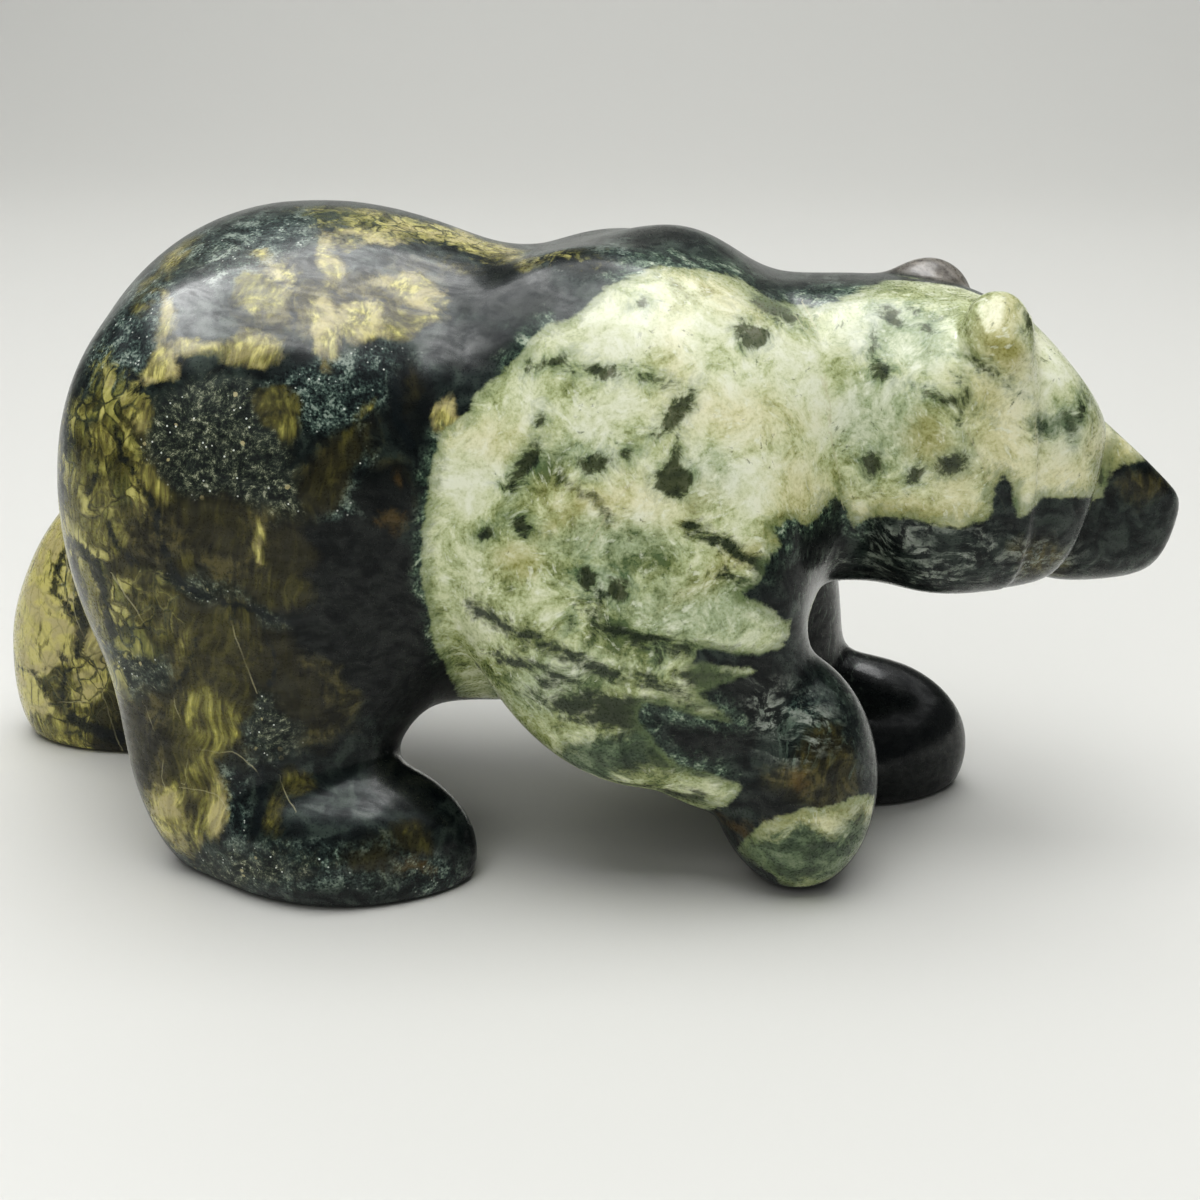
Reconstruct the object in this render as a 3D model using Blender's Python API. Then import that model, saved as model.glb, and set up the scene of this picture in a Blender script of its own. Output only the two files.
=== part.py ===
# A walking bear carved in one piece from soapstone, standing on its four soles.
# +X is the way it walks, +Y its left side, +Z up, and the soles lie on Z = 0. Metres.
#
# The bear is built up from rounded masses, as a carver roughs it out: each mass is a
# sphere pulled square and to size, the masses are joined and remeshed into one skin, and
# that skin is then drawn onto the soft blend of the same masses.

import bmesh
import bpy
import numpy as np
from mathutils import Euler, Matrix

MM = 0.001

VOXEL = 2.2 * MM  # grain of the remeshed skin
TRIANGLES = 9600  # what the skin is thinned to
SETTLE_STEPS = 6
PROBE = 0.05  # millimetres, half the step for reading the slope of the blend
SPHERE_SEGMENTS = 32
SPHERE_RINGS = 20
BACK_HEIGHT = 90  # millimetres
UNTURNED = (0, 0, 0)

STONE_COLOUR = (0.075, 0.095, 0.07, 1.0)
STONE_ROUGHNESS = 0.28

# Each mass: its centre, its half sizes, its turn about X, Y and Z in degrees, how square
# it is (2, an ellipsoid, unless it says more), how square it turns to its sides if that
# differs, and how softly it runs into the masses listed before it: one figure, or one at
# the ground and one at the top of the back. Lengths are in millimetres.
BODY = {
    "rump": dict(at=(-32.6, 0, 57), half=(35.9, 33.5, 36.8), square=2.15),
    "barrel": dict(at=(-4, 0, 53), half=(44, 26, 33.5), square=2.2, blend=14),
    "hump": dict(at=(19, 0, 69), half=(17, 19, 22), blend=8),
    "chest": dict(at=(24, 0, 54), half=(18, 24, 27), square=2.2, blend=10),
    "neck": dict(at=(40, -1, 62.4), half=(30, 18.5, 21.9), turn=(0, 0, 6), square=2.8, blend=6),
}

HIND_LEGS = {
    "near thigh": dict(at=(-38, -19, 50), half=(28, 18.5, 36), turn=(0, -8, 0), square=2.2, blend=12),
    "near shin": dict(at=(-39, -24, 20), half=(19.5, 11, 26), turn=(0, -6, 0), square=2.2, blend=8),
    "near hind foot": dict(
        at=(-28, -27.5, 6), half=(21.3, 13.6, 14), turn=(0, 10, 0), square=2.2, sides=1.6, blend=4
    ),
    "far thigh": dict(at=(-48, 18, 46), half=(27, 18.5, 34), turn=(0, 25, 0), square=2.2, blend=12),
    "far shin": dict(at=(-74.2, 23, 22), half=(17, 12.5, 24), turn=(0, 24, 0), square=2.2, blend=10),
    "far hind foot": dict(at=(-71.5, 24, 5), half=(21, 12.5, 13), turn=(0, 5, 0), square=2.2, blend=8),
}

FORE_LEGS = {
    "near blade": dict(at=(22, -13, 59), half=(21, 17, 27), turn=(-14, 0, 0), square=2.2, blend=8),
    "near shoulder": dict(
        at=(13.4, -17, 52.2), half=(26.2, 17.5, 38.2), turn=(-14, -14, 0), sides=3, blend=(1, 12)
    ),
    "near forearm": dict(at=(26.5, -25, 30.5), half=(15, 11, 19.5), turn=(0, -22, 0), blend=4),
    "near paw": dict(at=(38.6, -24, 17.5), half=(12.1, 11.5, 18), turn=(0, -6, 0), square=2.0, blend=3),
    "far blade": dict(at=(22, 13, 59), half=(21, 16, 26), turn=(14, 0, 0), square=2.2, blend=8),
    "far shoulder": dict(
        at=(14, 16.5, 53), half=(25, 17, 35.5), turn=(14, -14, 0), sides=3, blend=(1, 12)
    ),
    "far foreleg": dict(at=(36, 15, 28), half=(10, 12, 28), turn=(0, -6, 0), square=2.2, blend=8),
    "far paw": dict(
        at=(50, 13.5, 7), half=(17, 14, 14), turn=(0, 16, 0), square=2.2, sides=1.6, blend=6
    ),
}

# The head is laid out in its own frame, nose along +X, from a point between its ears, and
# is turned to the bear's left. Its planes are flats cut across it, each given by a point
# on the flat and the way the flat faces.
HEAD_AT = (62, -3, 62)
HEAD_TURN = (0, 0, 19)
SKULL = dict(at=(0, 0, -0.3), half=(19.5, 19, 21.4), square=3.0, blend=5)
SKULL_FLATS = {
    "forehead": dict(at=(12.8, 0, 10.2), faces=(0.76, 0, 0.65), rounding=7),
    "jaw front": dict(at=(15.5, 0, -4), faces=(0.96, 0, -0.28), rounding=3),
}
FACE_SIDES = dict(start=2, step=0.9)  # the sides of the face, set back from here forward
MUZZLE = dict(at=(20, 0, -8.6), half=(14, 10.5, 13.8), square=3.0, blend=2)
MUZZLE_FLATS = {
    "nose bridge": dict(at=(28.3, 0, -6.1), faces=(0.68, 0, 0.73), rounding=3),
    "nose": dict(at=(31.2, 0, -14), faces=(0.96, 0, -0.28), rounding=3),
}
EARS = {
    "near ear": dict(at=(-2.9, -15.2, 16.5), half=(5.0, 4.6, 7.3), turn=(-14, 0, 0), square=2.2, blend=2),
    "far ear": dict(at=(-1.5, 13, 17), half=(6.8, 5, 6.8), turn=(12, 0, 0), blend=2),
}

MASSES = {**BODY, **HIND_LEGS, **FORE_LEGS}


def clear_scene():
    for obj in list(bpy.data.objects):
        bpy.data.objects.remove(obj)


def turn_of(degrees):
    """A turn about X, Y and Z as a 3 x 3 array."""
    return np.array(Euler(np.radians(degrees)).to_matrix())


def reach_of(mass, share):
    """How far out each point lies: 1 on the mass's skin. First round its own Y, then in all."""
    square = mass.get("square", 2)
    sides = mass.get("sides", square)
    around = (share[:, 0] ** square + share[:, 2] ** square) ** (1 / square) + 1e-9
    return around, (around**sides + share[:, 1] ** sides) ** (1 / sides)


def add_blank(mass, into, at=(0, 0, 0), turn=UNTURNED):
    """Adds the mass to a bmesh as a sphere pulled square, sized, turned and put in place."""
    sphere = bmesh.ops.create_uvsphere(
        into, u_segments=SPHERE_SEGMENTS, v_segments=SPHERE_RINGS, radius=1.0
    )
    units = np.array([vert.co for vert in sphere["verts"]])
    pulled = units / reach_of(mass, np.abs(units))[1][:, None] * mass["half"]
    placed = pulled @ turn_of(mass.get("turn", UNTURNED)).T + mass["at"]
    for vert, point in zip(sphere["verts"], placed @ turn_of(turn).T + at):
        vert.co = point * MM


def distance_to(mass, points):
    """Signed distance from points to the mass's skin, close to true near the skin."""
    local = (points - mass["at"]) @ turn_of(mass.get("turn", UNTURNED))
    share = np.abs(local) / mass["half"]
    around, reach = reach_of(mass, share)
    square = mass.get("square", 2)
    sides = mass.get("sides", square)
    rise = (share / around[:, None]) ** (square - 1) * ((around / reach) ** (sides - 1))[:, None]
    rise[:, 1] = (share[:, 1] / reach) ** (sides - 1)
    return (reach - 1) / (np.linalg.norm(rise / mass["half"], axis=1) + 1e-9)


def soft_union(a, b, blend):
    """The smaller of two distances, rounded over where they meet."""
    near = np.maximum(blend - np.abs(a - b), 0) / blend
    return np.minimum(a, b) - near**3 * blend / 6


def blend_at(mass, points):
    """How softly the mass runs into the others at each point's height."""
    return np.interp(points[:, 2], (0, BACK_HEIGHT), np.broadcast_to(mass["blend"], 2))


def with_flats(distance, points, flats):
    """The distance to a mass once each flat has been cut across it."""
    for flat in flats.values():
        facing = np.array(flat["faces"]) / np.linalg.norm(flat["faces"])
        outside = (points - flat["at"]) @ facing
        distance = -soft_union(-distance, -outside, flat["rounding"])
    return distance


def head(points):
    """Signed distance to the head: a squared skull and muzzle with flats, and two ears."""
    local = (points - HEAD_AT) @ turn_of(HEAD_TURN)
    found = with_flats(distance_to(SKULL, local), local, SKULL_FLATS)
    face = np.clip(local[:, 0] - FACE_SIDES["start"], 0, 1)
    side = np.clip(np.abs(local[:, 1]) / 8 - 1, 0, 1)
    found = found + FACE_SIDES["step"] * face * side
    muzzle = with_flats(distance_to(MUZZLE, local), local, MUZZLE_FLATS)
    found = soft_union(found, muzzle, MUZZLE["blend"])
    for ear in EARS.values():
        found = soft_union(found, distance_to(ear, local), ear["blend"])
    return found


def stone(points):
    """Signed distance from points to the skin of the whole carving, all in millimetres."""
    first, *others = MASSES.values()
    found = distance_to(first, points)
    for mass in others:
        found = soft_union(found, distance_to(mass, points), blend_at(mass, points))
    return soft_union(found, head(points), SKULL["blend"])


def settle(mesh, steps=SETTLE_STEPS):
    """Draws every vertex onto the carving's skin, along the slope of the blend."""
    points = np.empty(len(mesh.vertices) * 3)
    mesh.vertices.foreach_get("co", points)
    points = points.reshape(-1, 3) / MM
    for _ in range(steps):
        slope = np.stack(
            [(stone(points + step) - stone(points - step)) / (2 * PROBE) for step in np.eye(3) * PROBE],
            axis=1,
        )
        steepness = np.maximum(np.sum(slope**2, axis=1, keepdims=True), 0.1)
        points -= stone(points)[:, None] * slope / steepness
    mesh.vertices.foreach_set("co", (points * MM).ravel())
    mesh.update()


def apply_modifier(obj):
    """Makes what the object's one modifier gives its own mesh."""
    bpy.context.view_layer.update()
    evaluated = obj.evaluated_get(bpy.context.evaluated_depsgraph_get())
    mesh = bpy.data.meshes.new_from_object(evaluated)
    obj.modifiers.clear()
    old, obj.data = obj.data, mesh
    bpy.data.meshes.remove(old)


def remesh(obj):
    """Turns the object's mesh into one closed skin of even quads."""
    modifier = obj.modifiers.new("Remesh", "REMESH")
    modifier.mode = "VOXEL"
    modifier.voxel_size = VOXEL
    apply_modifier(obj)


def drop_voids(mesh):
    """Keeps only the mesh's largest shell: the others are voids shut in between masses."""
    work = bmesh.new()
    work.from_mesh(mesh)
    unseen = set(work.verts)
    shells = []
    while unseen:
        start = unseen.pop()
        shell = [start]
        for vert in shell:
            beyond = [edge.other_vert(vert) for edge in vert.link_edges]
            found = [other for other in beyond if other in unseen]
            unseen.difference_update(found)
            shell.extend(found)
        shells.append(shell)
    shells.sort(key=len)
    bmesh.ops.delete(work, geom=[vert for shell in shells[:-1] for vert in shell], context="VERTS")
    work.to_mesh(mesh)
    work.free()


def thin(obj):
    """Thins the skin, keeping its triangles where it bends most."""
    obj.data.calc_loop_triangles()
    modifier = obj.modifiers.new("Thin", "DECIMATE")
    modifier.ratio = TRIANGLES / len(obj.data.loop_triangles)
    apply_modifier(obj)


def centre(mesh):
    """Brings the middle of the mesh's box over X = 0, Y = 0."""
    corners = [min(v.co[i] for v in mesh.vertices) + max(v.co[i] for v in mesh.vertices) for i in (0, 1)]
    mesh.transform(Matrix.Translation((-corners[0] / 2, -corners[1] / 2, 0)))


def stand_flat(mesh):
    """Cuts the feet off level at Z = 0 and closes each cut with a flat sole."""
    work = bmesh.new()
    work.from_mesh(mesh)
    cut = bmesh.ops.bisect_plane(
        work,
        geom=work.verts[:] + work.edges[:] + work.faces[:],
        dist=1e-7,
        plane_co=(0, 0, 0),
        plane_no=(0, 0, 1),
        clear_inner=True,
    )
    rim = [g for g in cut["geom_cut"] if isinstance(g, bmesh.types.BMEdge)]
    bmesh.ops.contextual_create(work, geom=rim)
    bmesh.ops.triangulate(work, faces=work.faces[:])
    bmesh.ops.recalc_face_normals(work, faces=work.faces[:])
    work.to_mesh(mesh)
    work.free()


def soapstone():
    material = bpy.data.materials.new("soapstone")
    material.use_nodes = True
    shader = material.node_tree.nodes["Principled BSDF"]
    shader.inputs["Base Color"].default_value = STONE_COLOUR
    shader.inputs["Roughness"].default_value = STONE_ROUGHNESS
    shader.inputs["Metallic"].default_value = 0.0
    return material


def bear():
    mesh = bpy.data.meshes.new("bear")
    blanks = bmesh.new()
    for mass in MASSES.values():
        add_blank(mass, blanks)
    for mass in (SKULL, MUZZLE, *EARS.values()):
        add_blank(mass, blanks, HEAD_AT, HEAD_TURN)
    blanks.to_mesh(mesh)
    blanks.free()
    obj = bpy.data.objects.new("bear", mesh)
    bpy.context.scene.collection.objects.link(obj)
    for _ in range(2):
        remesh(obj)
        drop_voids(obj.data)
        settle(obj.data)
    thin(obj)
    stand_flat(obj.data)
    centre(obj.data)
    obj.data.shade_smooth()
    obj.data.materials.append(soapstone())
    return obj


clear_scene()
bear()
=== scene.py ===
from math import cos, radians, sin

import bmesh
import bpy
import numpy as np
from mathutils import Euler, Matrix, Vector, noise


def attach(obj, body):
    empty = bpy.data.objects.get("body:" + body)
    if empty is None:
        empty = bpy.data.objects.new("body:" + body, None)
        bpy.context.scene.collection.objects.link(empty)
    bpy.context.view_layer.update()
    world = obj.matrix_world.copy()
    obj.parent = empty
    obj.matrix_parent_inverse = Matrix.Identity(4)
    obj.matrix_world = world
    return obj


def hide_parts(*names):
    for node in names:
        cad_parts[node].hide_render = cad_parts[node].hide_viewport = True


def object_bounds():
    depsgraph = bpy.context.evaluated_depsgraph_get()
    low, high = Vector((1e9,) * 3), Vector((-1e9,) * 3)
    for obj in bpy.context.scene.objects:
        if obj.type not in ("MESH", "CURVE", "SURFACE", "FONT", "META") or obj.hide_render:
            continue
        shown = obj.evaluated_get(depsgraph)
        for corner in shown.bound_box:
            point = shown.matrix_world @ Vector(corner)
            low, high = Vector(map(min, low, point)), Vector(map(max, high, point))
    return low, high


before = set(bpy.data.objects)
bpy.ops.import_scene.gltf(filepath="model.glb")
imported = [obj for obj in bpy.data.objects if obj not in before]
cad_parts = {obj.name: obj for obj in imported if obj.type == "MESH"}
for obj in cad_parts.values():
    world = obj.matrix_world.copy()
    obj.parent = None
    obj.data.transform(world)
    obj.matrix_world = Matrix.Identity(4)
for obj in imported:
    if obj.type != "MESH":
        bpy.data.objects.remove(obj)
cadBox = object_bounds()
print("frame loaded")

millimetre = 0.001

# Where the photograph was taken from, worked out from the four soles. Pixels are the
# photograph's own, 1200 a side.
photo = dict(
    at=(33.725, -285.936, 135.0),  # millimetres
    down=19.24,  # degrees below level
    aside=5.0,  # degrees to the left
    focal=2000,  # pixels
    side=1200,
)


def cameraTurn():
    return Euler((radians(90 - photo["down"]), 0, radians(photo["aside"])))


def placeCamera():
    lens = bpy.data.cameras.new("photoCamera")
    lens.sensor_width = 36
    lens.lens = lens.sensor_width * photo["focal"] / photo["side"]
    camera = bpy.data.objects.new("photoCamera", lens)
    camera.location = Vector(photo["at"]) * millimetre
    camera.rotation_euler = cameraTurn()
    bpy.context.scene.collection.objects.link(camera)
    bpy.context.scene.camera = camera


def inThePicture(points):
    # where the photograph shows each point, in pixels across and pixels down
    seen = (points - np.array(photo["at"])) @ np.array(cameraTurn().to_matrix())
    scale = photo["focal"] / -seen[:, 2]
    middle = photo["side"] / 2
    return middle + seen[:, 0] * scale, middle - seen[:, 1] * scale


# The carving's form, in millimetres. +X is the way the bear walks, +Y its left side, which
# is the far one in the photograph. Each mass: its middle, half sizes, turn in degrees, how
# square it is (2 is an ellipsoid), how square to its sides, and how softly it runs into the
# masses before it: one figure, or one at the ground and one at the back.
masses = {
    "rump": dict(at=(-32.6, 0, 57), half=(35.9, 33.5, 36.8), square=2.15),
    "barrel": dict(at=(-4, 0, 53), half=(44, 26, 33.5), square=2.2, blend=14),
    "hump": dict(at=(19, 0, 69), half=(17, 19, 22), blend=8),
    "chest": dict(at=(24, 0, 54), half=(18, 24, 27), square=2.2, blend=10),
    "neck": dict(at=(40, -1, 62.4), half=(30, 18.5, 21.9), turn=(0, 0, 6), square=2.8, blend=6),
    "nearThigh": dict(at=(-38, -19, 50), half=(28, 18.5, 36), turn=(0, -8, 0), square=2.2, blend=12),
    "nearShin": dict(at=(-39, -24, 20), half=(19.5, 11, 26), turn=(0, -6, 0), square=2.2, blend=8),
    "nearHindFoot": dict(
        at=(-28, -27.5, 6), half=(21.3, 13.6, 14), turn=(0, 10, 0), square=2.2, sides=1.6, blend=4,
    ),
    "farThigh": dict(at=(-48, 18, 46), half=(27, 18.5, 34), turn=(0, 25, 0), square=2.2, blend=12),
    "farShin": dict(at=(-74.2, 23, 22), half=(17, 12.5, 24), turn=(0, 24, 0), square=2.2, blend=10),
    "farHindFoot": dict(at=(-71.5, 24, 5), half=(21, 12.5, 13), turn=(0, 5, 0), square=2.2, blend=8),
    "nearBlade": dict(at=(22, -13, 59), half=(21, 17, 27), turn=(-14, 0, 0), square=2.2, blend=8),
    "nearShoulder": dict(
        at=(13.4, -17, 52.2), half=(26.2, 17.5, 38.2), turn=(-14, -14, 0), sides=3, blend=(1, 12),
    ),
    "nearForearm": dict(at=(26.5, -25, 30.5), half=(15, 11, 19.5), turn=(0, -22, 0), blend=4),
    "nearPaw": dict(at=(38.6, -24, 17.5), half=(12.1, 11.5, 18), turn=(0, -6, 0), blend=3),
    "farBlade": dict(at=(22, 13, 59), half=(21, 16, 26), turn=(14, 0, 0), square=2.2, blend=8),
    "farShoulder": dict(at=(14, 16.5, 53), half=(25, 17, 35.5), turn=(14, -14, 0), sides=3, blend=(1, 12)),
    "farForeleg": dict(at=(36, 15, 28), half=(10, 12, 28), turn=(0, -6, 0), square=2.2, blend=8),
    "farPaw": dict(at=(50, 13.5, 7), half=(17, 14, 14), turn=(0, 16, 0), square=2.2, sides=1.6, blend=6),
}

# The head has a frame of its own, nose along +X, turned to the bear's left. A flat is a
# point on it and the way it faces.
head = dict(
    at=(62, -3, 62),
    turn=(0, 0, 19),
    skull=dict(at=(0, 0, -0.3), half=(19.5, 19, 21.4), square=3.0, blend=5),
    skullFlats=[
        dict(at=(12.8, 0, 10.2), faces=(0.76, 0, 0.65), rounding=7),  # forehead
        dict(at=(15.5, 0, -4), faces=(0.96, 0, -0.28), rounding=3),  # front of the jaw
    ],
    faceStart=2,  # the sides of the face are set back from here forward
    faceStep=0.9,
    faceHalf=8,  # half the face's width, which isn't set back
    muzzle=dict(at=(20, 0, -8.6), half=(14, 10.5, 13.8), square=3.0, blend=2),
    muzzleFlats=[
        dict(at=(28.3, 0, -6.1), faces=(0.68, 0, 0.73), rounding=3),  # bridge of the nose
        dict(at=(31.2, 0, -14), faces=(0.96, 0, -0.28), rounding=3),  # nose
    ],
    ears=[
        dict(at=(-2.9, -15.2, 16.5), half=(5.0, 4.6, 7.3), turn=(-14, 0, 0), square=2.2, blend=2),
        dict(at=(-1.5, 13, 17), half=(6.8, 5, 6.8), turn=(12, 0, 0), blend=2),
    ],
)

skin = dict(
    voxel=0.83,  # millimetres between the finished skin's points
    quickVoxel=1.3,
    steps=4,  # times each point is drawn onto the form
    probe=0.05,
    soleRounding=2.2,
    backHeight=90,  # where a mass's second figure for its blend holds
    levelUpTo=3,  # the fine forms fade out below this height
    blankSegments=(48, 32),
)


def turnOf(degrees):
    return np.array(Euler(np.radians(degrees)).to_matrix())


def reachOf(mass, share):
    # how far out each point lies, 1 on the mass's skin: first round its own Y, then in all
    square = mass.get("square", 2)
    sides = mass.get("sides", square)
    around = (share[:, 0] ** square + share[:, 2] ** square) ** (1 / square) + 1e-9
    return around, (around**sides + share[:, 1] ** sides) ** (1 / sides)


def distanceTo(mass, points):
    local = (points - mass["at"]) @ turnOf(mass.get("turn", (0, 0, 0)))
    share = np.abs(local) / mass["half"]
    around, reach = reachOf(mass, share)
    square = mass.get("square", 2)
    sides = mass.get("sides", square)
    rise = (share / around[:, None]) ** (square - 1) * ((around / reach) ** (sides - 1))[:, None]
    rise[:, 1] = (share[:, 1] / reach) ** (sides - 1)
    return (reach - 1) / (np.linalg.norm(rise / mass["half"], axis=1) + 1e-9)


def softUnion(a, b, blend):
    near = np.maximum(blend - np.abs(a - b), 0) / blend
    return np.minimum(a, b) - near**3 * blend / 6


def withFlats(distance, points, flats):
    for flat in flats:
        facing = np.array(flat["faces"]) / np.linalg.norm(flat["faces"])
        outside = (points - flat["at"]) @ facing
        distance = -softUnion(-distance, -outside, flat["rounding"])
    return distance


def distanceToHead(points):
    local = (points - head["at"]) @ turnOf(head["turn"])
    found = withFlats(distanceTo(head["skull"], local), local, head["skullFlats"])
    face = np.clip(local[:, 0] - head["faceStart"], 0, 1)
    side = np.clip(np.abs(local[:, 1]) / head["faceHalf"] - 1, 0, 1)
    found = found + head["faceStep"] * face * side
    muzzle = withFlats(distanceTo(head["muzzle"], local), local, head["muzzleFlats"])
    found = softUnion(found, muzzle, head["muzzle"]["blend"])
    for ear in head["ears"]:
        found = softUnion(found, distanceTo(ear, local), ear["blend"])
    return found


def distanceToCarving(points, soleRounding=0):
    first, *others = masses.values()
    found = distanceTo(first, points)
    for mass in others:
        blend = np.interp(points[:, 2], (0, skin["backHeight"]), np.broadcast_to(mass["blend"], 2))
        found = softUnion(found, distanceTo(mass, points), blend)
    found = softUnion(found, distanceToHead(points), head["skull"]["blend"])
    if soleRounding:
        found = -softUnion(-found, points[:, 2], soleRounding)
    return found


def slopeOf(points, soleRounding):
    steps = np.eye(3) * skin["probe"]
    ahead = [distanceToCarving(points + step, soleRounding) for step in steps]
    behind = [distanceToCarving(points - step, soleRounding) for step in steps]
    return np.stack(np.subtract(ahead, behind), axis=1) / (2 * skin["probe"])


def pointsOf(mesh):
    found = np.empty(len(mesh.vertices) * 3)
    mesh.vertices.foreach_get("co", found)
    return found.reshape(-1, 3) / millimetre


def movePoints(mesh, points):
    mesh.vertices.foreach_set("co", (points * millimetre).ravel())
    mesh.update()


def settle(mesh, soleRounding=0):
    points = pointsOf(mesh)
    for _ in range(skin["steps"]):
        slope = slopeOf(points, soleRounding)
        steepness = np.maximum(np.sum(slope**2, axis=1, keepdims=True), 0.1)
        points -= distanceToCarving(points, soleRounding)[:, None] * slope / steepness
    movePoints(mesh, points)


def remesh(obj):
    modifier = obj.modifiers.new("Remesh", "REMESH")
    modifier.mode = "VOXEL"
    modifier.voxel_size = skin["voxel"] * millimetre
    bpy.context.view_layer.update()
    evaluated = obj.evaluated_get(bpy.context.evaluated_depsgraph_get())
    mesh = bpy.data.meshes.new_from_object(evaluated)
    obj.modifiers.clear()
    obj.data = mesh


def dropVoids(mesh):
    # only the largest shell stays: the others are hollows shut in between masses
    work = bmesh.new()
    work.from_mesh(mesh)
    unseen = set(work.verts)
    shells = []
    while unseen:
        shell = [unseen.pop()]
        for vert in shell:
            beyond = [edge.other_vert(vert) for edge in vert.link_edges]
            found = [other for other in beyond if other in unseen]
            unseen.difference_update(found)
            shell.extend(found)
        shells.append(shell)
    shells.sort(key=len)
    bmesh.ops.delete(work, geom=[vert for shell in shells[:-1] for vert in shell], context="VERTS")
    work.to_mesh(mesh)
    work.free()


def standFlat(mesh):
    work = bmesh.new()
    work.from_mesh(mesh)
    cut = bmesh.ops.bisect_plane(
        work,
        geom=work.verts[:] + work.edges[:] + work.faces[:],
        dist=1e-7,
        plane_co=(0, 0, 0),
        plane_no=(0, 0, 1),
        clear_inner=True,
    )
    rim = [part for part in cut["geom_cut"] if isinstance(part, bmesh.types.BMEdge)]
    bmesh.ops.contextual_create(work, geom=rim)
    bmesh.ops.triangulate(work, faces=[face for face in work.faces if len(face.verts) > 4])
    bmesh.ops.recalc_face_normals(work, faces=work.faces[:])
    work.to_mesh(mesh)
    work.free()


def centreOn(mesh, box):
    points = pointsOf(mesh)
    middle = (points.min(axis=0) + points.max(axis=0)) / 2
    target = (np.array(box[0]) + np.array(box[1])) / 2 / millimetre
    points[:, :2] += target[:2] - middle[:2]
    movePoints(mesh, points)


def addBlank(work, mass, at=(0, 0, 0), turn=(0, 0, 0)):
    around, upward = skin["blankSegments"]
    sphere = bmesh.ops.create_uvsphere(work, u_segments=around, v_segments=upward, radius=1.0)
    units = np.array([vert.co for vert in sphere["verts"]])
    pulled = units / reachOf(mass, np.abs(units))[1][:, None] * mass["half"]
    placed = pulled @ turnOf(mass.get("turn", (0, 0, 0))).T + mass["at"]
    for vert, point in zip(sphere["verts"], placed @ turnOf(turn).T + at):
        vert.co = point * millimetre


def carveBear():
    work = bmesh.new()
    for mass in masses.values():
        addBlank(work, mass)
    for mass in (head["skull"], head["muzzle"], *head["ears"]):
        addBlank(work, mass, head["at"], head["turn"])
    mesh = bpy.data.meshes.new("bearSkin")
    work.to_mesh(mesh)
    work.free()
    bear = bpy.data.objects.new("bearSkin", mesh)
    bpy.context.scene.collection.objects.link(bear)
    remesh(bear)
    dropVoids(bear.data)
    settle(bear.data)
    standFlat(bear.data)
    remesh(bear)
    settle(bear.data, skin["soleRounding"])
    return bear


# Fine forms on the side that the photograph shows, along lines in its pixels: how deep the
# line is cut in millimetres (below 0, how far it stands up) and how wide it is in pixels.
carvedLines = {
    "cheekRidge": dict(
        line=[(1030, 318), (1031, 360), (1030, 400), (1033, 450), (1032, 500)],
        depth=-0.25,
        wide=4,
    ),
    "cheekPlane": dict(
        line=[(964, 395), (959, 415), (956, 440), (962, 465), (967, 515)],
        depth=-0.22,
        wide=5,
    ),
    "earBulge": dict(line=[(994, 338), (1003, 346), (1008, 354)], depth=-0.8, wide=15),
    "earUndercut": dict(
        line=[(968, 354), (976, 366), (990, 376), (1003, 386), (1016, 379), (1025, 368)],
        depth=1.0,
        wide=6,
    ),
    "neckCrease": dict(
        line=[(790, 298), (812, 315), (822, 345), (830, 390), (837, 440), (843, 490), (846, 530)],
        depth=0.35,
        wide=7,
    ),
}
waves = dict(height=0.16, size=17, fineHeight=0.05, fineSize=6)  # hand polish, millimetres
turnedAway, turnedOver = -0.05, 0.25  # how the seen side's forms and pattern give way at its edge


def awayFromLine(across, down, line):
    # how far each place is from the line, and which side of it, in pixels
    nearest = np.full(len(across), 1e9)
    side = np.zeros(len(across))
    for (x0, y0), (x1, y1) in zip(line[:-1], line[1:]):
        dx, dy = x1 - x0, y1 - y0
        along = np.clip(((across - x0) * dx + (down - y0) * dy) / (dx * dx + dy * dy), 0, 1)
        away = np.hypot(across - x0 - along * dx, down - y0 - along * dy)
        turn = np.sign((across - x0) * dy - (down - y0) * dx)
        side = np.where(away < nearest, turn, side)
        nearest = np.minimum(nearest, away)
    return nearest, side


def facingPhoto(points, normals):
    # 1 where the photograph's camera sees the skin, 0 where it doesn't
    towards = np.array(photo["at"]) - points
    towards /= np.linalg.norm(towards, axis=1, keepdims=True)
    facing = np.sum(towards * normals, axis=1)
    share = np.clip((facing - turnedAway) / turnedOver, 0, 1)
    return share * share * (3 - 2 * share)


def normalsOf(mesh):
    found = np.empty(len(mesh.vertices) * 3, np.float32)
    mesh.vertices.foreach_get("normal", found)
    return found.reshape(-1, 3).astype(float)


def carveLines(mesh):
    points, normals = pointsOf(mesh), normalsOf(mesh)
    seen = facingPhoto(points, normals)
    across, down = inThePicture(points)
    rise = np.zeros(len(points))
    for cut in carvedLines.values():
        away, _ = awayFromLine(across, down, cut["line"])
        rise -= seen * cut["depth"] * np.exp(-((away / cut["wide"]) ** 2))
    for i, point in enumerate(points):
        rise[i] += waves["height"] * noise.noise(Vector(point) / waves["size"])
        rise[i] += waves["fineHeight"] * noise.noise(Vector(point) / waves["fineSize"])
    rise *= np.clip(points[:, 2] / skin["levelUpTo"], 0, 1)
    movePoints(mesh, points + normals * rise[:, None])


placeCamera()
bear = carveBear()
centreOn(bear.data, cadBox)
carveLines(bear.data)
bear.data.shade_smooth()
print("bear carved:", len(bear.data.vertices), "points")

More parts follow.
